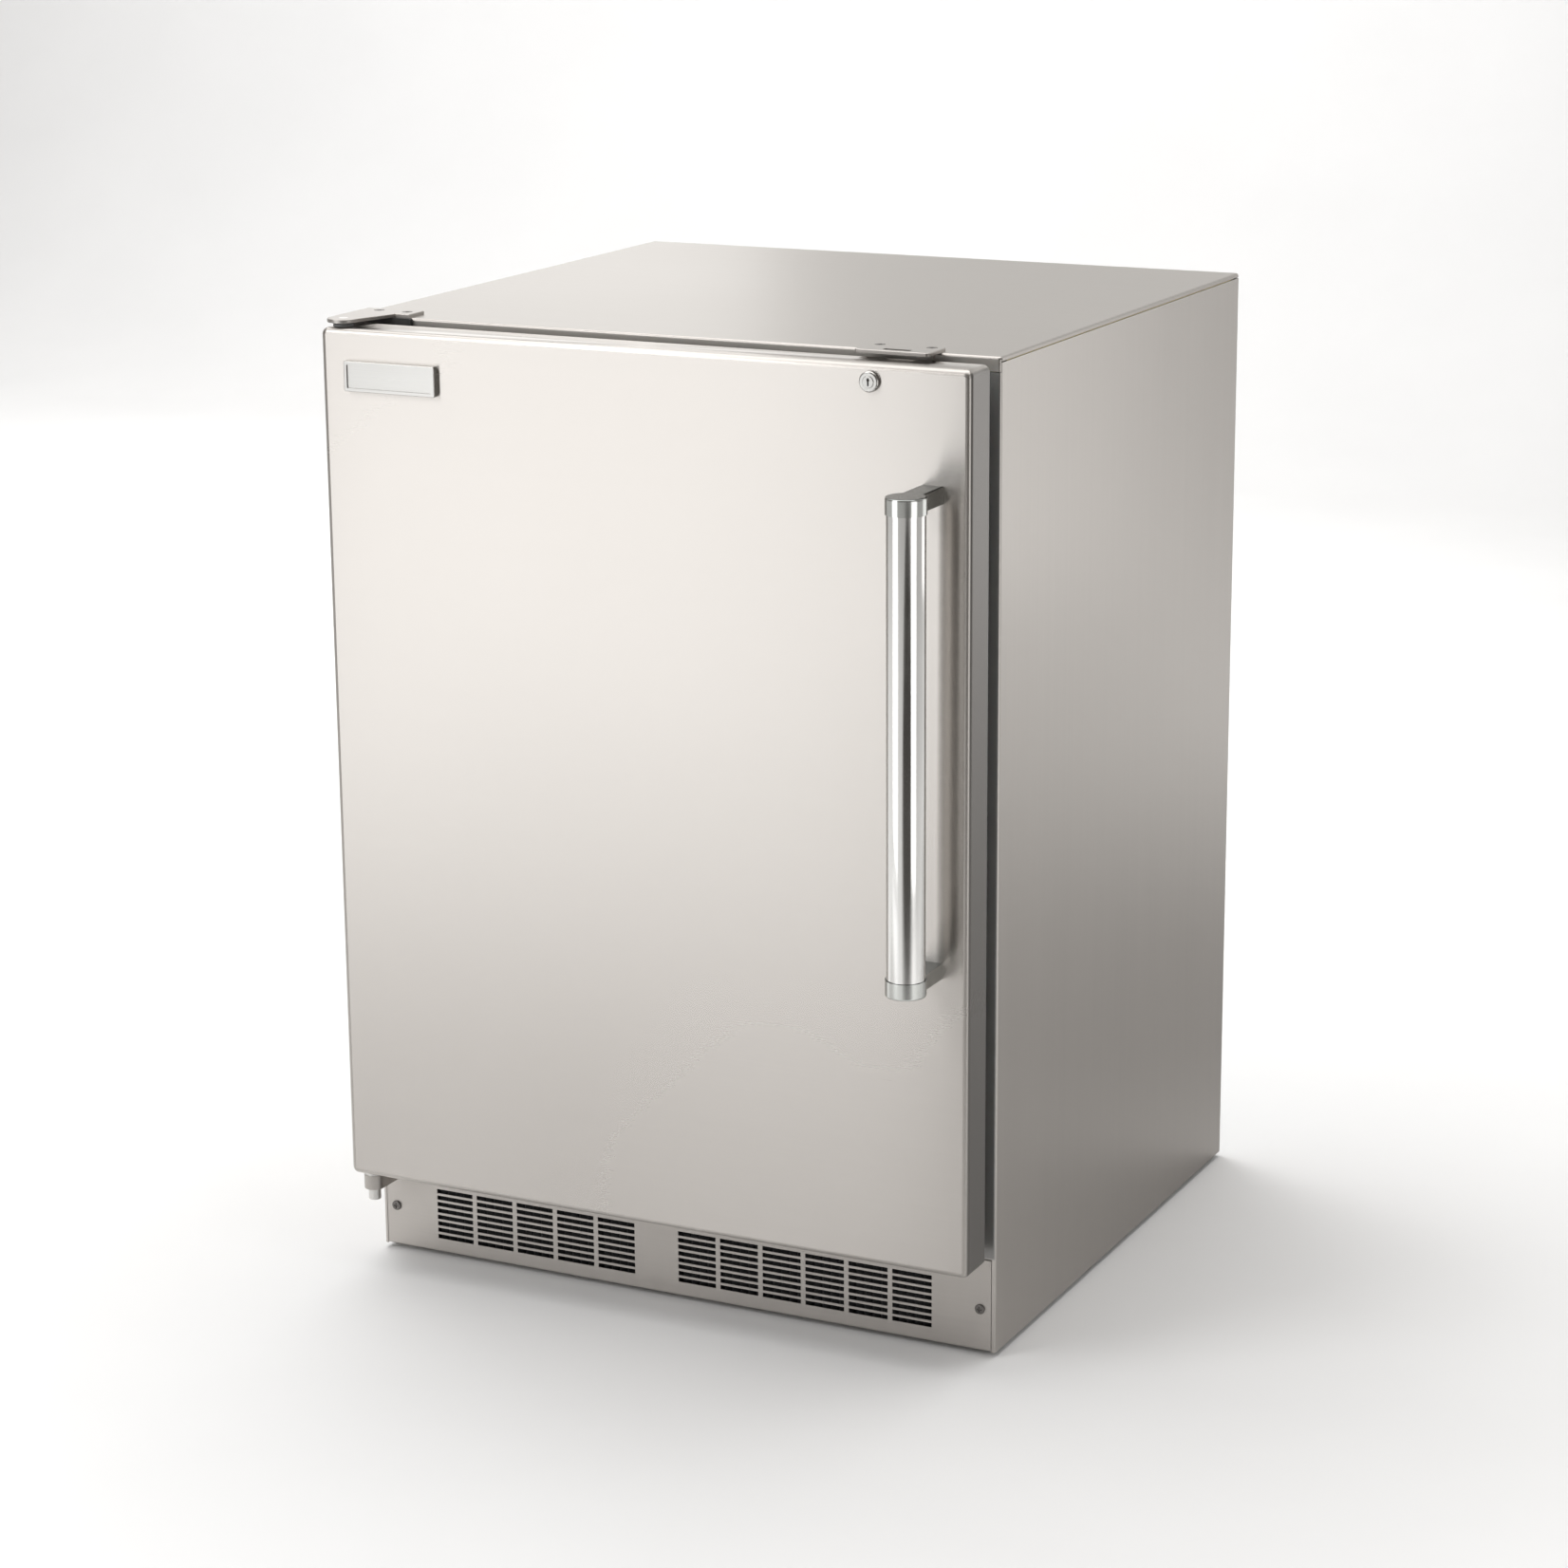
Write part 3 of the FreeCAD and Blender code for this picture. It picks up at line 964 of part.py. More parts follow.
def door_gasket():
    """Magnetic seal with bellows folds: four straight lengths that butt at the corners."""
    half, z0, z1 = DOOR_W / 2 - GASKET_INSET, DOOR_BOTTOM + GASKET_INSET, DOOR_TOP - GASKET_INSET
    start = DOOR_BACK + 2.0
    layers = [(3.0, start, start + 3), (0.0, start + 3, start + 6), (2.6, start + 6, start + 8),
              (0.0, start + 8, start + 10.5), (2.6, start + 10.5, start + 12), (0.0, start + 12, -GASKET_GAP)]
    lengths = []
    for side in (-1, 1):
        low, high = sorted((side * half, side * (half - GASKET_W)))
        lengths.append(fuse([box(low + i, high - i, y0, y1, z0, z1) for i, y0, y1 in layers]))
        low, high = (z0, z0 + GASKET_W) if side < 0 else (z1 - GASKET_W, z1)
        inner = half - GASKET_W
        lengths.append(fuse([box(-inner, inner, y0, y1, low + i, high - i) for i, y0, y1 in layers]))
    return Part.makeCompound(lengths)


def handle_tube():
    low, high = HANDLE_BOTTOM + HANDLE_CAP_H, HANDLE_TOP - HANDLE_CAP_H
    tube_solid = cyl((HANDLE_X, HANDLE_Y, low), Z, HANDLE_TUBE_R, high - low)
    return tube_solid.cut(cyl((HANDLE_X, HANDLE_Y, low - 1), Z, HANDLE_TUBE_R - 2, high - low + 2))


def handle_bracket(z0, up):
    """End cap of the tube with an arm back to the door. up is +1 for the upper bracket."""
    z1 = z0 + HANDLE_CAP_H
    cap = cyl((HANDLE_X, HANDLE_Y, z0), Z, HANDLE_CAP_R, HANDLE_CAP_H)
    arm = box(HANDLE_X - HANDLE_ARM_W / 2, HANDLE_X + HANDLE_ARM_W / 2, HANDLE_Y, DOOR_FRONT, z0, z1)
    body = fuse([cap, arm])
    outer_face = z1 if up > 0 else z0
    body = fillet(body, 1.6, on_plane(Z, outer_face))
    spigot_base = z0 - 12 if up > 0 else z1
    spigot = cyl((HANDLE_X, HANDLE_Y, spigot_base), Z, HANDLE_TUBE_R - 2.05, 12)
    middle = (z0 + z1) / 2
    return fuse([body, spigot]).cut(cyl((HANDLE_X, DOOR_FRONT - 14, middle), Y, 2.5, 20))


def handle_brackets():
    lower, upper = handle_bracket(HANDLE_BOTTOM, -1), handle_bracket(HANDLE_TOP - HANDLE_CAP_H, 1)
    return Part.makeCompound([lower, upper])


def handle_screws():
    """Screws from inside the door skin into the brackets."""
    solids = []
    for z in handle_screw_zs():
        head = cyl((HANDLE_X, DOOR_FRONT + SHEET, z), Y, 5.0, 3)
        solids.append(fuse([head, cyl((HANDLE_X, DOOR_FRONT - 13, z), Y, 2.45, 13 + SHEET + 1)]))
    return Part.makeCompound(solids)


BADGE = (-276.0, -187.0, 794.5, 820.5)
BADGE_T = 5.0


def badge_plate():
    """Blank name plate with a raised rim."""
    x0, x1, z0, z1 = BADGE
    front = DOOR_FRONT - BADGE_T
    plate = round_along(box(x0, x1, front, DOOR_FRONT, z0, z1), Y, 1.5)
    plate = fillet(plate, 0.8, on_plane(Y, front))
    field = round_along(box(x0 + 3, x1 - 3, front - 1, front + 1.2, z0 + 3, z1 - 3), Y, 1.0)
    return plate.cut(field)


def door_bin(level):
    """Open tray between the rims of the door liner, hung by two holes on the liner's lugs."""
    y0 = POCKET_Y + 0.5
    outer = box(-BIN_X, BIN_X, y0, BIN_BACK_Y, level, level + BIN_H)
    outer = fillet(outer, 12.0, lambda e: parallel(e, Z) and e.CenterOfMass.y > BIN_BACK_Y - 1)
    outer = fillet(outer, 5.0, on_plane(Z, level))
    half, back = BIN_X - BIN_T, BIN_BACK_Y - BIN_T
    inner = box(-half, half, y0 + BIN_T, back, level + BIN_T, level + BIN_H + 1)
    inner = fillet(inner, 9.6, lambda e: parallel(e, Z) and e.CenterOfMass.y > BIN_BACK_Y - 4)
    lug_hole = cyl((-BIN_X - 1, BIN_LUG_Y, level + BIN_LUG_H), X, BIN_LUG_R + 0.1, 2 * BIN_X + 2)
    return outer.cut(inner).cut(lug_hole)


# ---- export -------------------------------------------------------------------------------------------
def pieces():
    """(node name, function that makes it) for every piece of the refrigerator."""
    made = [
        ("side_panel_left", lambda: side_panel(-1)),
        ("side_panel_right", lambda: side_panel(1)),
        ("top_panel", top_panel),
        ("front_rails", front_rails),
        ("rear_panel", rear_panel),
        ("rear_service_cover", rear_service_cover),
        ("power_inlet", power_inlet),
        ("base_pan", base_pan),
        ("cabinet_liner", cabinet_liner),
        ("cabinet_foam", cabinet_foam),
        ("compressor_bay_deck", compressor_bay_deck),
        ("base_grille", base_grille),
        ("panel_screws", panel_screws),
        ("shelf_ledges", shelf_ledges),
        ("evaporator_cover", evaporator_cover),
        ("evaporator_coil", evaporator_coil),
        ("evaporator_fan_rotor", evaporator_fan_rotor),
        ("evaporator_fan_motor", evaporator_fan_motor),
        ("control_housing", control_housing),
        ("light_lens", light_lens),
        ("thermostat_knob", thermostat_knob),
        ("door_switch_plunger", door_switch_plunger),
        ("compressor", compressor),
        ("compressor_grommets", compressor_grommets),
        ("compressor_bolts", compressor_bolts),
        ("compressor_terminal_cover", compressor_terminal_cover),
        ("condenser_coil", condenser_coil),
        ("condenser_fan_shroud", condenser_fan_shroud),
        ("condenser_fan_motor", condenser_fan_motor),
        ("condenser_fan_rotor", condenser_fan_rotor),
        ("filter_drier", filter_drier),
        ("refrigerant_lines", refrigerant_lines),
        ("drain_pan", drain_pan),
        ("drain_tube", drain_tube),
        ("hinge_plate_top", hinge_plate_top),
        ("hinge_backing_top", hinge_backing_top),
        ("hinge_bracket_bottom", hinge_bracket_bottom),
        ("hinge_pins", hinge_pins),
        ("lock_keeper", lock_keeper),
        ("door_outer_panel", door_outer_panel),
        ("door_liner", door_liner),
        ("door_foam", door_foam),
        ("door_gasket", door_gasket),
        ("hinge_bushes", hinge_bushes),
        ("handle_tube", handle_tube),
        ("handle_brackets", handle_brackets),
        ("handle_screws", handle_screws),
        ("badge_plate", badge_plate),
        ("lock_body", lock_body),
        ("lock_plug", lock_plug),
    ]
    for name, level in zip(("shelf_lower", "shelf_middle", "shelf_upper"), SHELF_LEVELS):
        made.append((name, lambda level=level: wire_shelf(level)))
    for name, level in zip(("door_bin_lower", "door_bin_middle", "door_bin_upper"), BIN_LEVELS):
        made.append((name, lambda level=level: door_bin(level)))
    names = ("foot_front_left", "foot_front_right", "foot_rear_left", "foot_rear_right")
    for name, (x, y) in zip(names, foot_places()):
        made.append((name, lambda x=x, y=y: foot(x, y)))
    return made


def export(name, shape):
    """Moves a piece into the part's frame and writes its STEP file."""
    moved = shape.copy()
    moved.translate(TO_ROW_FRAME)
    solids = moved.Solids
    bad = [i for i, s in enumerate(solids) if not s.isValid() or s.Volume <= 0]
    volume = sum(s.Volume for s in solids) / 1000
    print(f"{name}: {len(solids)} solids, {volume:.1f} cm3", "BAD" if bad else "")
    whole = solids[0] if len(solids) == 1 else Part.makeCompound(solids)
    whole.exportStep(os.path.join("parts", name + ".step"))


def main():
    os.makedirs("parts", exist_ok=True)
    for name, make in pieces():
        export(name, make())


if __name__ == "__main__":
    main()
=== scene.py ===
import math

import bmesh
import bpy
from mathutils import Matrix, Vector


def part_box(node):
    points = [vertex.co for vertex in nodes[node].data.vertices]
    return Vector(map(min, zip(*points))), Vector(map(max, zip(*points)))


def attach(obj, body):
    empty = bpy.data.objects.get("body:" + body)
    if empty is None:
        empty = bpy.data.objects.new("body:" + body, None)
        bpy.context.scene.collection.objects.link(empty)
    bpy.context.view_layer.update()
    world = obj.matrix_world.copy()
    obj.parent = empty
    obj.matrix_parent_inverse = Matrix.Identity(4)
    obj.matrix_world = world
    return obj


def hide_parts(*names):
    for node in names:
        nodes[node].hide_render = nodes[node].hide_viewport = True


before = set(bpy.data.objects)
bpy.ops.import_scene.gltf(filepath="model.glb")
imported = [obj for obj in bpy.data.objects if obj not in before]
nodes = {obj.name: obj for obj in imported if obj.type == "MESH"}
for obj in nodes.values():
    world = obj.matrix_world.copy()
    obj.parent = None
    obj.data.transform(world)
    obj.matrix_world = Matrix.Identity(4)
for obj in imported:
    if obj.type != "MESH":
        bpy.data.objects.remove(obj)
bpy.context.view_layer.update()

# Looks of the undercounter refrigerator: camera, studio, materials and the pieces that are made here.
MM = 0.001

# ---- camera --------------------------------------------------------------------------------------
CAMERA_AT = Vector((1.538, -3.101, 1.338))
CAMERA_TURN = math.radians(26.37)  # to the left of straight ahead
CAMERA_DIP = math.radians(14.86)
CAMERA_ROLL = math.radians(-0.44)
CAMERA_LENS = 91.2
CAMERA_SENSOR = 36.0


def make_camera():
    data = bpy.data.cameras.new("camera")
    data.lens = CAMERA_LENS
    data.sensor_width = CAMERA_SENSOR
    camera = bpy.data.objects.new("camera", data)
    turn = Matrix.Rotation(CAMERA_TURN, 4, "Z") @ Matrix.Rotation(math.pi / 2 - CAMERA_DIP, 4, "X")
    camera.matrix_world = Matrix.Translation(CAMERA_AT) @ turn @ Matrix.Rotation(CAMERA_ROLL, 4, "Z")
    bpy.context.scene.collection.objects.link(camera)
    bpy.context.scene.camera = camera


# ---- material helpers ----------------------------------------------------------------------------
NOISE_LOW, NOISE_HIGH = 0.3, 0.7  # most of a noise texture's values lie between these
MIX_COLOURS, MIX_RESULT = (6, 7), 2  # the Mix node's sockets for colours


def mix_colours(tree, factor, a, b):
    """A mix of two colours in a node tree; each is a plain colour or a socket."""
    node = tree.nodes.new("ShaderNodeMix")
    node.data_type = "RGBA"
    tree.links.new(factor, node.inputs["Factor"])
    for place, value in zip(MIX_COLOURS, (a, b)):
        if isinstance(value, tuple):
            node.inputs[place].default_value = (*value, 1.0)
        else:
            tree.links.new(value, node.inputs[place])
    return node.outputs[MIX_RESULT]


class Surface:
    """A node material under construction, on the object's own coordinates in metres."""

    def __init__(self, name):
        self.material = bpy.data.materials.new(name)
        self.material.use_nodes = True
        self.nodes = self.material.node_tree.nodes
        self.links = self.material.node_tree.links
        self.shader = self.nodes["Principled BSDF"]
        self.coordinates = self.nodes.new("ShaderNodeTexCoord").outputs["Object"]

    def noise(self, scale, detail=3.0):
        """Noise with its cells per metre as one number, or as three for X, Y and Z."""
        if isinstance(scale, float):
            scale = (scale, scale, scale)
        mapping = self.nodes.new("ShaderNodeMapping")
        mapping.inputs["Scale"].default_value = scale
        self.links.new(self.coordinates, mapping.inputs["Vector"])
        texture = self.nodes.new("ShaderNodeTexNoise")
        texture.inputs["Scale"].default_value = 1.0
        texture.inputs["Detail"].default_value = detail
        self.links.new(mapping.outputs["Vector"], texture.inputs["Vector"])
        return texture.outputs["Fac"]

    def cells(self, scale):
        """Outputs of a pattern of closed cells, so many per metre."""
        node = self.nodes.new("ShaderNodeTexVoronoi")
        node.inputs["Scale"].default_value = scale
        self.links.new(self.coordinates, node.inputs["Vector"])
        return node.outputs

    def split(self, vector):
        """X, Y and Z of a vector."""
        node = self.nodes.new("ShaderNodeSeparateXYZ")
        self.links.new(vector, node.inputs["Vector"])
        return node.outputs

    def spread(self, value, low, high, from_low=NOISE_LOW, from_high=NOISE_HIGH):
        """Maps a value from from_low ... from_high onto low ... high."""
        node = self.nodes.new("ShaderNodeMapRange")
        node.inputs["From Min"].default_value = from_low
        node.inputs["From Max"].default_value = from_high
        node.inputs["To Min"].default_value = low
        node.inputs["To Max"].default_value = high
        self.links.new(value, node.inputs["Value"])
        return node.outputs["Result"]

    def math(self, operation, a, b):
        node = self.nodes.new("ShaderNodeMath")
        node.operation = operation
        for socket, value in zip(node.inputs, (a, b)):
            if isinstance(value, (int, float)):
                socket.default_value = value
            else:
                self.links.new(value, socket)
        return node.outputs[0]

    def mix(self, factor, a, b):
        return mix_colours(self.material.node_tree, factor, a, b)

    def colour(self, value):
        if isinstance(value, tuple):
            self.shader.inputs["Base Color"].default_value = (*value, 1.0)
        else:
            self.links.new(value, self.shader.inputs["Base Color"])

    def roughness(self, value):
        self.links.new(value, self.shader.inputs["Roughness"])

    def bump(self, height, strength, distance):
        node = self.nodes.new("ShaderNodeBump")
        node.inputs["Strength"].default_value = strength
        node.inputs["Distance"].default_value = distance
        self.links.new(height, node.inputs["Height"])
        self.links.new(node.outputs["Normal"], self.shader.inputs["Normal"])

    def set(self, **sockets):
        names = {"metallic": "Metallic", "specular": "Specular IOR Level", "coat": "Coat Weight",
                 "coat_roughness": "Coat Roughness", "anisotropic": "Anisotropic",
                 "anisotropic_turn": "Anisotropic Rotation",
                 "subsurface": "Subsurface Weight", "subsurface_scale": "Subsurface Scale",
                 "emission": "Emission Strength"}
        for key, value in sockets.items():
            self.shader.inputs[names[key]].default_value = value

    def tangent(self, axis):
        node = self.nodes.new("ShaderNodeTangent")
        node.direction_type = "RADIAL"
        node.axis = axis
        self.links.new(node.outputs["Tangent"], self.shader.inputs["Tangent"])


def tone(colour, factor):
    return tuple(min(1.0, c * factor) for c in colour)


FINE_LINES, WIDE_LINES = (1100.0, 5.0), (160.0, 1.2)  # noise cells per metre across and along the grain
FINE_SHARE = 0.6  # of the fine lines in the grain; the wide ones make up the rest
GRAIN_LOW, GRAIN_HIGH = 0.35, 0.65  # most of the grain's values lie between these
CLOUD_CELLS, CLOUD_ROUGH = 2.2, 0.015  # broad patches per metre, and how far they move the roughness
DOOR_FOLD = (2.2 * MM, 0.8 * MM)  # where the door's face turns into its folded sides, in from the sides


def along_grain(lines, axis):
    """Noise cells per metre for X, Y and Z, with the lines running along one axis."""
    across, along = lines
    scale = [across, across, across]
    scale["XYZ".index(axis)] = along
    return scale


def brushed(name, colour, along, rough, grain=0.12, contrast=0.025, stretch=0.0, side=None, rim=None):
    """Stainless sheet with a straight brushed grain along X, Y or Z.

    grain is the depth of its lines and contrast how far their tone strays; stretch draws highlights out
    across the grain; side is the tone of the door's folded sides, and rim is painted shade: a dark tone on
    the cabinet's front flange beside the door, where the gap to the door lies in shade.
    """
    s = Surface(name)
    place = s.split(s.coordinates)
    streaks = s.noise(along_grain(FINE_LINES, along), 2.0)
    bands = s.noise(along_grain(WIDE_LINES, along), 3.0)
    blend = s.math("ADD", s.math("MULTIPLY", streaks, FINE_SHARE), s.math("MULTIPLY", bands, 1 - FINE_SHARE))
    if side:
        from_middle = s.math("ABSOLUTE", place["X"], 0.0)
        edge = s.spread(from_middle, 0.0, 1.0, *[DOOR_SIDE_X - inset for inset in DOOR_FOLD])
        upright = s.noise(along_grain(FINE_LINES, "Z"), 2.0)
        streaks = s.mix(edge, streaks, upright)
        blend = s.mix(edge, blend, upright)
    dark, light = tone(colour, 1 - contrast), tone(colour, 1 + contrast)
    face = s.mix(s.spread(blend, 0.0, 1.0, GRAIN_LOW, GRAIN_HIGH), dark, light)
    if side:
        face = s.mix(edge, face, side)
    # painted shade: the cabinet's front flange beside the door is coloured dark, standing for the shade of
    # the gap to the door
    if rim:
        front = s.spread(place["Y"], 1.0, 0.0, FACE_Y + 0.2 * MM, FACE_Y + 0.8 * MM)
        beside_door = s.spread(place["Z"], 0.0, 1.0, GRILLE_TOP, GRILLE_TOP + 2 * MM)
        face = s.mix(s.math("MULTIPLY", front, beside_door), face, rim)
    s.colour(face)
    clouds = s.spread(s.noise(CLOUD_CELLS, 2.0), -CLOUD_ROUGH, CLOUD_ROUGH)
    s.roughness(s.math("ADD", s.spread(blend, *rough, GRAIN_LOW, GRAIN_HIGH), clouds))
    if grain:
        s.bump(streaks, grain, 0.00003)
    s.set(metallic=1.0)
    if stretch:
        s.set(anisotropic=stretch, anisotropic_turn=0.25)
        s.tangent("Z")
    return s.material


def polished(name, colour, rough, top=None):
    """Bright metal; top is painted shade, a darker tone given to its upward faces by the way they face."""
    s = Surface(name)
    wear = s.noise((60.0, 60.0, 14.0), 4.0)
    scratches = s.noise((900.0, 900.0, 30.0), 2.0)
    face = s.mix(s.spread(wear, 0.0, 1.0), tone(colour, 0.96), tone(colour, 1.03))
    # painted shade: faces that point up take the darker top tone
    if top:
        facing = s.split(s.nodes.new("ShaderNodeNewGeometry").outputs["Normal"])
        face = s.mix(s.spread(facing["Z"], 0.0, 1.0, 0.6, 0.9), face, top)
    s.colour(face)
    s.roughness(s.math("ADD", s.spread(wear, *rough), s.spread(scratches, 0.0, 0.03)))
    s.bump(scratches, 0.12, 0.00002)
    s.set(metallic=1.0)
    return s.material


def plated(name, colour, rough, crystals):
    """Zinc or galvanised sheet with a faint pattern of crystals, so many per metre."""
    s = Surface(name)
    crystal = s.nodes.new("ShaderNodeSeparateColor")
    s.links.new(s.cells(crystals)["Color"], crystal.inputs["Color"])
    s.colour(s.mix(crystal.outputs["Red"], tone(colour, 0.93), tone(colour, 1.04)))
    s.roughness(s.spread(s.noise(90.0), *rough))
    s.bump(s.noise(400.0), 0.15, 0.00005)
    s.set(metallic=1.0)
    return s.material


def enamel(name, colour, rough):
    """Painted metal with a fine orange-peel surface."""
    s = Surface(name)
    patches = s.noise(25.0)
    s.colour(s.mix(s.spread(patches, 0.0, 1.0), tone(colour, 0.88), tone(colour, 1.1)))
    s.roughness(s.spread(patches, *rough))
    s.bump(s.noise(900.0, 2.0), 0.25, 0.00008)
    s.set(coat=0.15, coat_roughness=0.2)
    return s.material


def plastic(name, colour, rough, texture=700.0, depth=0.00005, glow=0.0, lit=0.0):
    """Moulded plastic with a fine texture; glow lets light into it and lit makes it shine."""
    s = Surface(name)
    s.colour(s.mix(s.spread(s.noise(18.0), 0.0, 1.0), tone(colour, 0.96), tone(colour, 1.03)))
    s.roughness(s.spread(s.noise(45.0), *rough))
    s.bump(s.noise(texture, 2.0), 0.3, depth)
    s.set(subsurface=glow, subsurface_scale=0.004, emission=lit)
    return s.material


def rubber(name, colour):
    """Dull rubber with dust in patches."""
    s = Surface(name)
    dust = s.noise(30.0, 4.0)
    s.colour(s.mix(s.spread(dust, 0.0, 1.0), tone(colour, 0.8), tone(colour, 1.35)))
    s.roughness(s.spread(dust, 0.62, 0.8))
    s.bump(s.noise(1200.0), 0.3, 0.00006)
    return s.material


def copper(name):
    """Drawn copper with tarnish in patches."""
    s = Surface(name)
    tarnish = s.noise(40.0, 4.0)
    s.colour(s.mix(s.spread(tarnish, 0.0, 1.0), (0.62, 0.28, 0.16), (0.83, 0.45, 0.29)))
    s.roughness(s.spread(tarnish, 0.22, 0.45))
    s.bump(s.noise(500.0), 0.1, 0.00004)
    s.set(metallic=1.0)
    return s.material


def foam(name, colour):
    """Rigid foam with open cells."""
    s = Surface(name)
    depth = s.cells(500.0)["Distance"]
    # painted shade: the middle of each cell, which the bump sinks into a pit, is coloured darker
    s.colour(s.mix(s.spread(depth, 0.0, 1.0, 0.0, 0.7), tone(colour, 0.85), tone(colour, 1.05)))
    s.roughness(s.spread(s.noise(60.0), 0.85, 0.95))
    s.bump(depth, 0.5, 0.0003)
    return s.material


STEEL = (0.56, 0.53, 0.50)
FACE_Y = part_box("side_panel_left")[0].y  # front face of the cabinet
DOOR_SIDE_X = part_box("door_outer_panel")[1].x
GRILLE_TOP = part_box("base_grille")[1].z
MATERIALS = {
    "steel_door": brushed("steel_door", tone(STEEL, 0.93), "X", rough=(0.269, 0.271), grain=0.0,
                          contrast=0.007, stretch=1.0, side=(0.20, 0.19, 0.18)),
    # the front flange of the side panels gets painted shade, a dark tone standing for the shaded gap beside
    # the door
    "steel_side": brushed("steel_side", tone(STEEL, 0.93), "Z", rough=(0.30, 0.35), rim=(0.27, 0.265, 0.26)),
    "steel_top": brushed("steel_top", tone(STEEL, 0.80), "X", rough=(0.33, 0.38)),
    "steel_trim": brushed("steel_trim", tone(STEEL, 0.98), "X", rough=(0.42, 0.5)),
    "steel_rail": brushed("steel_rail", tone(STEEL, 0.72), "X", rough=(0.3, 0.42)),
    "hinge_steel": brushed("hinge_steel", tone(STEEL, 0.85), "X", rough=(0.32, 0.44)),
    "handle": polished("handle", (0.78, 0.775, 0.76), rough=(0.05, 0.11)),
    # the upward faces of the handle's end brackets get painted shade, a near-black tone
    "handle_ends": polished("handle_ends", (0.60, 0.61, 0.59), rough=(0.08, 0.15), top=(0.07, 0.08, 0.075)),
    "lock": polished("lock", (0.50, 0.49, 0.47), rough=(0.22, 0.3)),
    "badge": brushed("badge", (0.54, 0.53, 0.51), "X", rough=(0.26, 0.32)),
    "screws": plated("screws", (0.20, 0.19, 0.18), rough=(0.35, 0.5), crystals=400.0),
    "zinc": plated("zinc", (0.70, 0.69, 0.67), rough=(0.26, 0.4), crystals=260.0),
    "galvanised": plated("galvanised", (0.60, 0.61, 0.62), rough=(0.34, 0.5), crystals=110.0),
    "black_enamel": enamel("black_enamel", (0.022, 0.022, 0.024), rough=(0.3, 0.45)),
    "dark_strip": enamel("dark_strip", (0.035, 0.034, 0.033), rough=(0.5, 0.65)),
    "white_liner": plastic("white_liner", (0.83, 0.84, 0.83), rough=(0.42, 0.48),
                           texture=900.0, depth=0.00001, glow=0.05),
    "white_wire": enamel("white_wire", (0.80, 0.81, 0.81), rough=(0.25, 0.35)),
    "bin": plastic("bin", (0.78, 0.82, 0.84), rough=(0.12, 0.22), texture=240.0, depth=0.00003, glow=0.2),
    "lens": plastic("lens", (0.93, 0.92, 0.86), rough=(0.15, 0.25),
                    texture=240.0, depth=0.00004, glow=0.35, lit=1.5),
    "black_plastic": plastic("black_plastic", (0.028, 0.028, 0.03), rough=(0.45, 0.6)),
    "grey_plastic": plastic("grey_plastic", (0.30, 0.31, 0.32), rough=(0.4, 0.55)),
    "gasket": rubber("gasket", (0.035, 0.035, 0.035)),
    "mount_rubber": rubber("mount_rubber", (0.03, 0.03, 0.03)),
    "foam": foam("foam", (0.80, 0.70, 0.42)),
    "copper": copper("copper"),
    "fins": plated("fins", (0.74, 0.75, 0.76), rough=(0.25, 0.38), crystals=200.0),
    "filter": plastic("filter", (0.03, 0.03, 0.032), rough=(0.7, 0.85), texture=900.0, depth=0.0002),
}
NODE_MATERIALS = {
    "steel_door": ["door_outer_panel"],
    "steel_side": ["side_panel_left", "side_panel_right"],
    "steel_top": ["top_panel", "hinge_plate_top", "lock_keeper"],
    "steel_trim": ["base_grille"],
    "steel_rail": ["front_rails"],
    "hinge_steel": ["hinge_bracket_bottom"],
    "handle": ["handle_tube"],
    "handle_ends": ["handle_brackets"],
    "lock": ["lock_body", "lock_plug"],
    "screws": ["panel_screws"],
    "badge": ["badge_plate"],
    "zinc": ["hinge_pins", "handle_screws", "compressor_bolts", "foot_front_left",
             "foot_front_right", "foot_rear_left", "foot_rear_right"],
    "galvanised": ["rear_panel", "rear_service_cover", "base_pan", "compressor_bay_deck",
                   "condenser_fan_shroud", "condenser_fan_motor"],
    "black_enamel": ["compressor", "condenser_coil"],
    "dark_strip": ["hinge_backing_top"],
    "white_liner": ["cabinet_liner", "door_liner", "shelf_ledges", "evaporator_cover", "control_housing"],
    "white_wire": ["shelf_lower", "shelf_middle", "shelf_upper"],
    "bin": ["door_bin_lower", "door_bin_middle", "door_bin_upper"],
    "lens": ["light_lens"],
    "black_plastic": ["power_inlet", "thermostat_knob", "evaporator_fan_motor", "compressor_terminal_cover",
                      "drain_pan"],
    "grey_plastic": ["evaporator_fan_rotor", "door_switch_plunger", "drain_tube", "hinge_bushes"],
    "mount_rubber": ["compressor_grommets"],
    "foam": ["cabinet_foam", "door_foam"],
    "copper": ["filter_drier", "refrigerant_lines"],
    "fins": ["evaporator_coil", "condenser_fan_rotor"],
}


def paint_nodes():
    for material, names in NODE_MATERIALS.items():
        for name in names:
            slots = nodes[name].data.materials
            for i in range(len(slots)):
                slots[i] = MATERIALS[material]


# ---- pieces made here ----------------------------------------------------------------------------
CABINET_BODY, DOOR_BODY = "cabinet", "door"


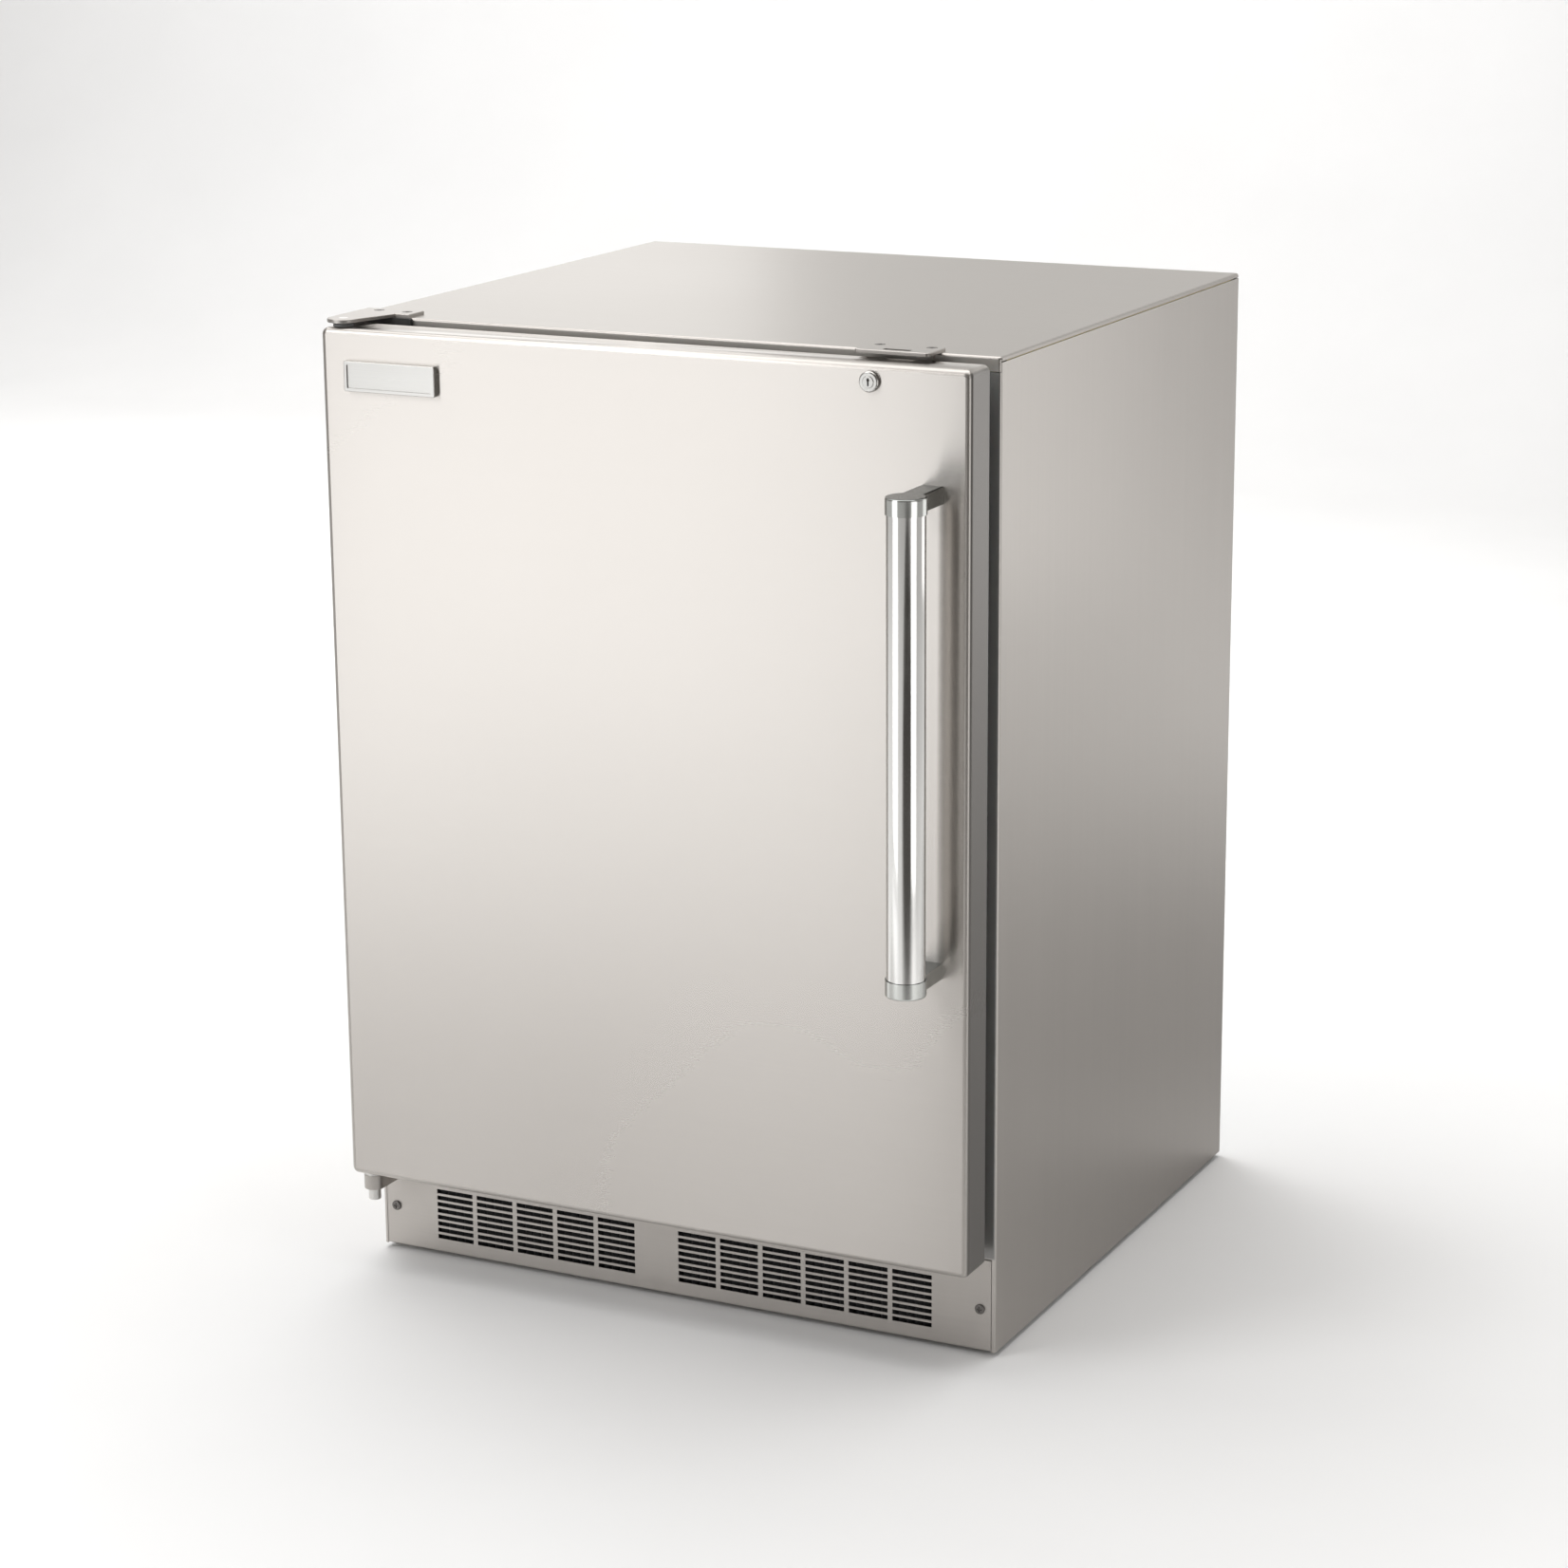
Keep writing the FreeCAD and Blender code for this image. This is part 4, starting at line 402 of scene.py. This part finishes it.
def add_piece(name, vertices, faces, material, body, crease=math.radians(40.0)):
    """A closed mesh with its normals outward and soft shading below the crease angle, riding on a body."""
    mesh = bpy.data.meshes.new(name)
    mesh.from_pydata(vertices, [], faces)
    work = bmesh.new()
    work.from_mesh(mesh)
    bmesh.ops.recalc_face_normals(work, faces=work.faces)
    for face in work.faces:
        face.smooth = True
    work.to_mesh(mesh)
    work.free()
    mesh.set_sharp_from_angle(angle=crease)
    mesh.materials.append(MATERIALS[material])
    piece = bpy.data.objects.new(name, mesh)
    bpy.context.scene.collection.objects.link(piece)
    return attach(piece, body)


def cut_corners(points, rounds):
    """Rounds off a closed outline by cutting each corner at a quarter of its sides."""
    for _ in range(rounds):
        smoother = []
        for a, b in zip(points, points[1:] + points[:1]):
            for part in (0.25, 0.75):
                smoother.append(tuple(p + (q - p) * part for p, q in zip(a, b)))
        points = smoother
    return points


# Half of the seal's cross-section in mm: (inset from its outer edge, distance forward of its sealing face).
# The push-in root comes first, then two bellows folds and the magnet pocket.
SEAL_HALF = [(6.4, 16.7), (4.6, 16.7), (3.3, 15.9), (3.3, 14.0), (1.0, 13.4), (0.2, 12.2), (0.6, 11.0),
             (3.4, 9.9), (3.4, 9.5), (0.6, 8.5), (0.1, 7.2), (0.7, 6.1), (3.2, 5.3), (3.2, 4.9),
             (0.5, 4.3), (0.05, 3.3), (0.05, 0.9), (0.9, 0.05), (6.4, 0.05)]
SEAL_W = 13.0


def make_seal():
    """Door seal with bellows folds, swept round the door and mitred at its corners."""
    low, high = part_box("door_gasket")
    half = cut_corners(SEAL_HALF, 2)
    half = [point for point in half if point[0] < SEAL_W / 2]
    outline = half + [(SEAL_W - inset, forward) for inset, forward in reversed(half)]
    vertices, faces = [], []
    for inset, forward in outline:
        y = high.y - forward * MM
        left, right = low.x + inset * MM, high.x - inset * MM
        bottom, top = low.z + inset * MM, high.z - inset * MM
        vertices += [(left, y, bottom), (right, y, bottom), (right, y, top), (left, y, top)]
    for i in range(len(outline)):
        j = (i + 1) % len(outline)
        for side in range(4):
            after = (side + 1) % 4
            faces.append((4 * i + side, 4 * i + after, 4 * j + after, 4 * j + side))
    seal = add_piece("door_seal", vertices, faces, "gasket", DOOR_BODY)
    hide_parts("door_gasket")


FILTER_HALF_W, FILTER_LOW, FILTER_HIGH = 0.276, 0.013, 0.083
FILTER_PLEAT, FILTER_DEPTH, FILTER_T = 0.004, 0.005, 0.0006  # half a fold, its depth, the strip's thickness
FILTER_BEHIND = 0.004  # from the grille's front face to the first fold


def make_filter():
    """Pleated air filter behind the slots of the grille: one folded strip with a thickness."""
    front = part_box("base_grille")[0].y + FILTER_BEHIND
    folds = round(2 * FILTER_HALF_W / FILTER_PLEAT)
    line = []
    for i in range(folds + 1):
        line.append((-FILTER_HALF_W + i * FILTER_PLEAT, front + (i % 2) * FILTER_DEPTH))
    outline = line + [(x, y + FILTER_T) for x, y in reversed(line)]
    count = len(outline)
    vertices = [(x, y, z) for z in (FILTER_LOW, FILTER_HIGH) for x, y in outline]
    faces = [(i, (i + 1) % count, count + (i + 1) % count, count + i) for i in range(count)]
    for i in range(folds):
        back = count - 1 - i
        faces.append((i, i + 1, back - 1, back))
        faces.append((count + i, count + back, count + back - 1, count + i + 1))
    pad = add_piece("air_filter", vertices, faces, "filter", CABINET_BODY, math.radians(20.0))


BIN_WALL, BIN_CORNER_R, BIN_RIM_R = 2.4 * MM, 12.0 * MM, 2.2 * MM
BIN_RIM_START = 31.5 * MM  # from the bin's back, clear of the door's inner rim
BIN_RIM_FACETS = 4  # in a quarter of the bead's round
ARC_STEPS = 8


def make_bin_rim(node):
    """Rolled bead along the top of a bin's two ends and its front."""
    low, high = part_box(node)
    half, front = high.x - BIN_WALL / 2, high.y - BIN_WALL / 2
    radius = BIN_CORNER_R - BIN_WALL / 2
    path = [(-half, low.y + BIN_RIM_START)]
    for middle, first in ((-half + radius, math.pi), (half - radius, math.pi / 2)):
        for i in range(ARC_STEPS + 1):
            angle = first - math.pi / 2 * i / ARC_STEPS
            path.append((middle + radius * math.cos(angle), front - radius + radius * math.sin(angle)))
    path.append((half, low.y + BIN_RIM_START))
    curve = bpy.data.curves.new(node + "_rim", "CURVE")
    curve.dimensions = "3D"
    curve.bevel_depth = BIN_RIM_R
    curve.bevel_resolution = BIN_RIM_FACETS
    curve.use_fill_caps = True
    spline = curve.splines.new("POLY")
    spline.points.add(len(path) - 1)
    for point, (x, y) in zip(spline.points, path):
        point.co = (x, y, high.z - BIN_RIM_R / 2, 1.0)
    curve.materials.append(MATERIALS["bin"])
    rim = bpy.data.objects.new(node + "_rim", curve)
    bpy.context.scene.collection.objects.link(rim)
    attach(rim, DOOR_BODY)


# ---- studio --------------------------------------------------------------------------------------
SWEEP_SIDE = 6.0
SWEEP_FRONT, SWEEP_BACK = -6.0, 3.6
SWEEP_BEND = 1.2
SWEEP_STEPS = 24
CARDS = [  # grey cards for reflections only: name, middle, half axes, turn, start of the fade, colour
    ("card_camera", (1.64, -2.41), (1.22, 1.75), math.radians(33.3), 0.72, (0.10, 0.095, 0.09)),
    ("card_right", (0.62, 0.75), (0.95, 1.35), 0.0, 0.2, (0.36, 0.355, 0.35)),
    ("card_left", (-0.42, -0.82), (0.75, 0.50), 0.0, 0.2, (0.46, 0.45, 0.44)),
]
CARD_HEIGHT = 2 * MM
CARD_SIDES = 48
LIGHTS = [  # soft boxes: name, middle, point faced, size, brightness, and a colour where it isn't white
    ("overhead", (-0.4, 0.3, 3.4), (-0.2, 0.4, 0.0), (3.4, 3.4), 2.1),
    ("key", (-1.9, -2.6, 2.7), (0.0, 0.2, 0.2), (1.6, 1.6), 4.2),
    ("front_left", (-0.66, -1.45, 0.55), (-0.08, -0.27, 0.5), (0.85, 1.0), 1.42, (0.98, 1.0, 1.02)),
    ("back_left", (-1.55, 1.8, 1.6), (-0.3, 0.0, 0.9), (1.2, 1.1), 0.8),
    ("back_right", (1.15, 0.85, 0.8), (0.3, -0.2, 0.6), (0.9, 0.9), 0.72),
    ("right_strip", (1.48, -0.78, 0.6), (0.27, -0.33, 0.5), (0.75, 1.1), 1.3),
    ("backdrop", (-2.4, 1.6, 2.8), (-2.2, 4.6, 0.2), (4.0, 1.0), 8.0),
]
BRIGHT_SIDE = (-0.25, 0.85, 0.46)  # of the room: behind, above and to the left
ROOM_TONES = [(0.0, (0.17, 0.16, 0.15)), (0.8, (0.75, 0.74, 0.72))]  # nearness to the bright side, and colour
BACKDROP = (0.86, 0.86, 0.86)  # what the camera itself sees beyond the floor


def make_floor():
    """A white paper sweep that curves up behind."""
    profile = [(SWEEP_FRONT, 0.0), (SWEEP_BACK, 0.0)]
    for i in range(1, SWEEP_STEPS + 1):
        angle = math.pi / 2 * i / SWEEP_STEPS
        profile.append((SWEEP_BACK + SWEEP_BEND * math.sin(angle), SWEEP_BEND * (1 - math.cos(angle))))
    points = [(x, y, z) for y, z in profile for x in (-SWEEP_SIDE, SWEEP_SIDE)]
    faces = [(2 * i, 2 * i + 1, 2 * i + 3, 2 * i + 2) for i in range(len(profile) - 1)]
    mesh = bpy.data.meshes.new("floor")
    mesh.from_pydata(points, [], faces)
    for face in mesh.polygons:
        face.use_smooth = True
    floor = bpy.data.objects.new("floor", mesh)
    bpy.context.scene.collection.objects.link(floor)
    s = Surface("floor")
    s.colour(s.mix(s.spread(s.noise(3.0), 0.0, 1.0), (0.86, 0.86, 0.86), (0.88, 0.88, 0.88)))
    s.roughness(s.spread(s.noise(8.0), 0.75, 0.85))
    s.set(specular=0.1)
    mesh.materials.append(s.material)


def make_card(name, middle, half_axes, turn, fade, grey):
    """An oval card on the floor with a soft edge, which shows in reflections and nowhere else."""
    corners = []
    for i in range(CARD_SIDES):
        angle = 2 * math.pi * i / CARD_SIDES
        corners.append((math.cos(angle), math.sin(angle), 0.0))
    mesh = bpy.data.meshes.new(name)
    mesh.from_pydata(corners, [], [tuple(range(CARD_SIDES))])
    card = bpy.data.objects.new(name, mesh)
    card.location = (*middle, CARD_HEIGHT)
    card.rotation_euler = (0.0, 0.0, turn)
    card.scale = (*half_axes, 1.0)
    bpy.context.scene.collection.objects.link(card)
    s = Surface(name)
    s.colour(grey)
    s.set(specular=0.0)
    away = s.nodes.new("ShaderNodeVectorMath")
    away.operation = "LENGTH"
    s.links.new(s.coordinates, away.inputs[0])
    s.links.new(s.spread(away.outputs["Value"], 1.0, 0.0, fade, 1.0), s.shader.inputs["Alpha"])
    mesh.materials.append(s.material)
    card.visible_camera = False
    card.visible_diffuse = False
    card.visible_shadow = False
    card.visible_transmission = False


def area_light(name, at, towards, size, radiance, colour=(1.0, 1.0, 1.0)):
    """A rectangular soft box whose face has the given brightness."""
    data = bpy.data.lights.new(name, "AREA")
    data.shape = "RECTANGLE"
    data.size, data.size_y = size
    data.energy = radiance * math.pi * size[0] * size[1]
    data.color = colour
    light = bpy.data.objects.new(name, data)
    light.location = at
    light.rotation_euler = (Vector(towards) - Vector(at)).to_track_quat("-Z", "Y").to_euler()
    bpy.context.scene.collection.objects.link(light)


def make_room():
    """A dim room, brighter on one side, that lights the object; the camera itself sees a pale backdrop."""
    world = bpy.data.worlds.new("studio")
    bpy.context.scene.world = world
    world.use_nodes = True
    room, links = world.node_tree.nodes, world.node_tree.links
    facing = room.new("ShaderNodeVectorMath")
    facing.operation = "DOT_PRODUCT"
    facing.inputs[1].default_value = BRIGHT_SIDE
    links.new(room.new("ShaderNodeTexCoord").outputs["Generated"], facing.inputs[0])
    ramp = room.new("ShaderNodeValToRGB")
    ramp.color_ramp.interpolation = "EASE"
    for element, (position, colour) in zip(ramp.color_ramp.elements, ROOM_TONES):
        element.position = position
        element.color = (*colour, 1.0)
    links.new(facing.outputs["Value"], ramp.inputs["Fac"])
    to_camera = room.new("ShaderNodeLightPath").outputs["Is Camera Ray"]
    seen = mix_colours(world.node_tree, to_camera, ramp.outputs["Color"], BACKDROP)
    links.new(seen, room["Background"].inputs["Color"])


make_camera()
make_floor()
for card in CARDS:
    make_card(*card)
for light in LIGHTS:
    area_light(*light)
make_room()
bpy.context.scene.view_settings.view_transform = "Standard"
paint_nodes()
make_seal()
make_filter()
for shelf in ("lower", "middle", "upper"):
    make_bin_rim("door_bin_" + shelf)
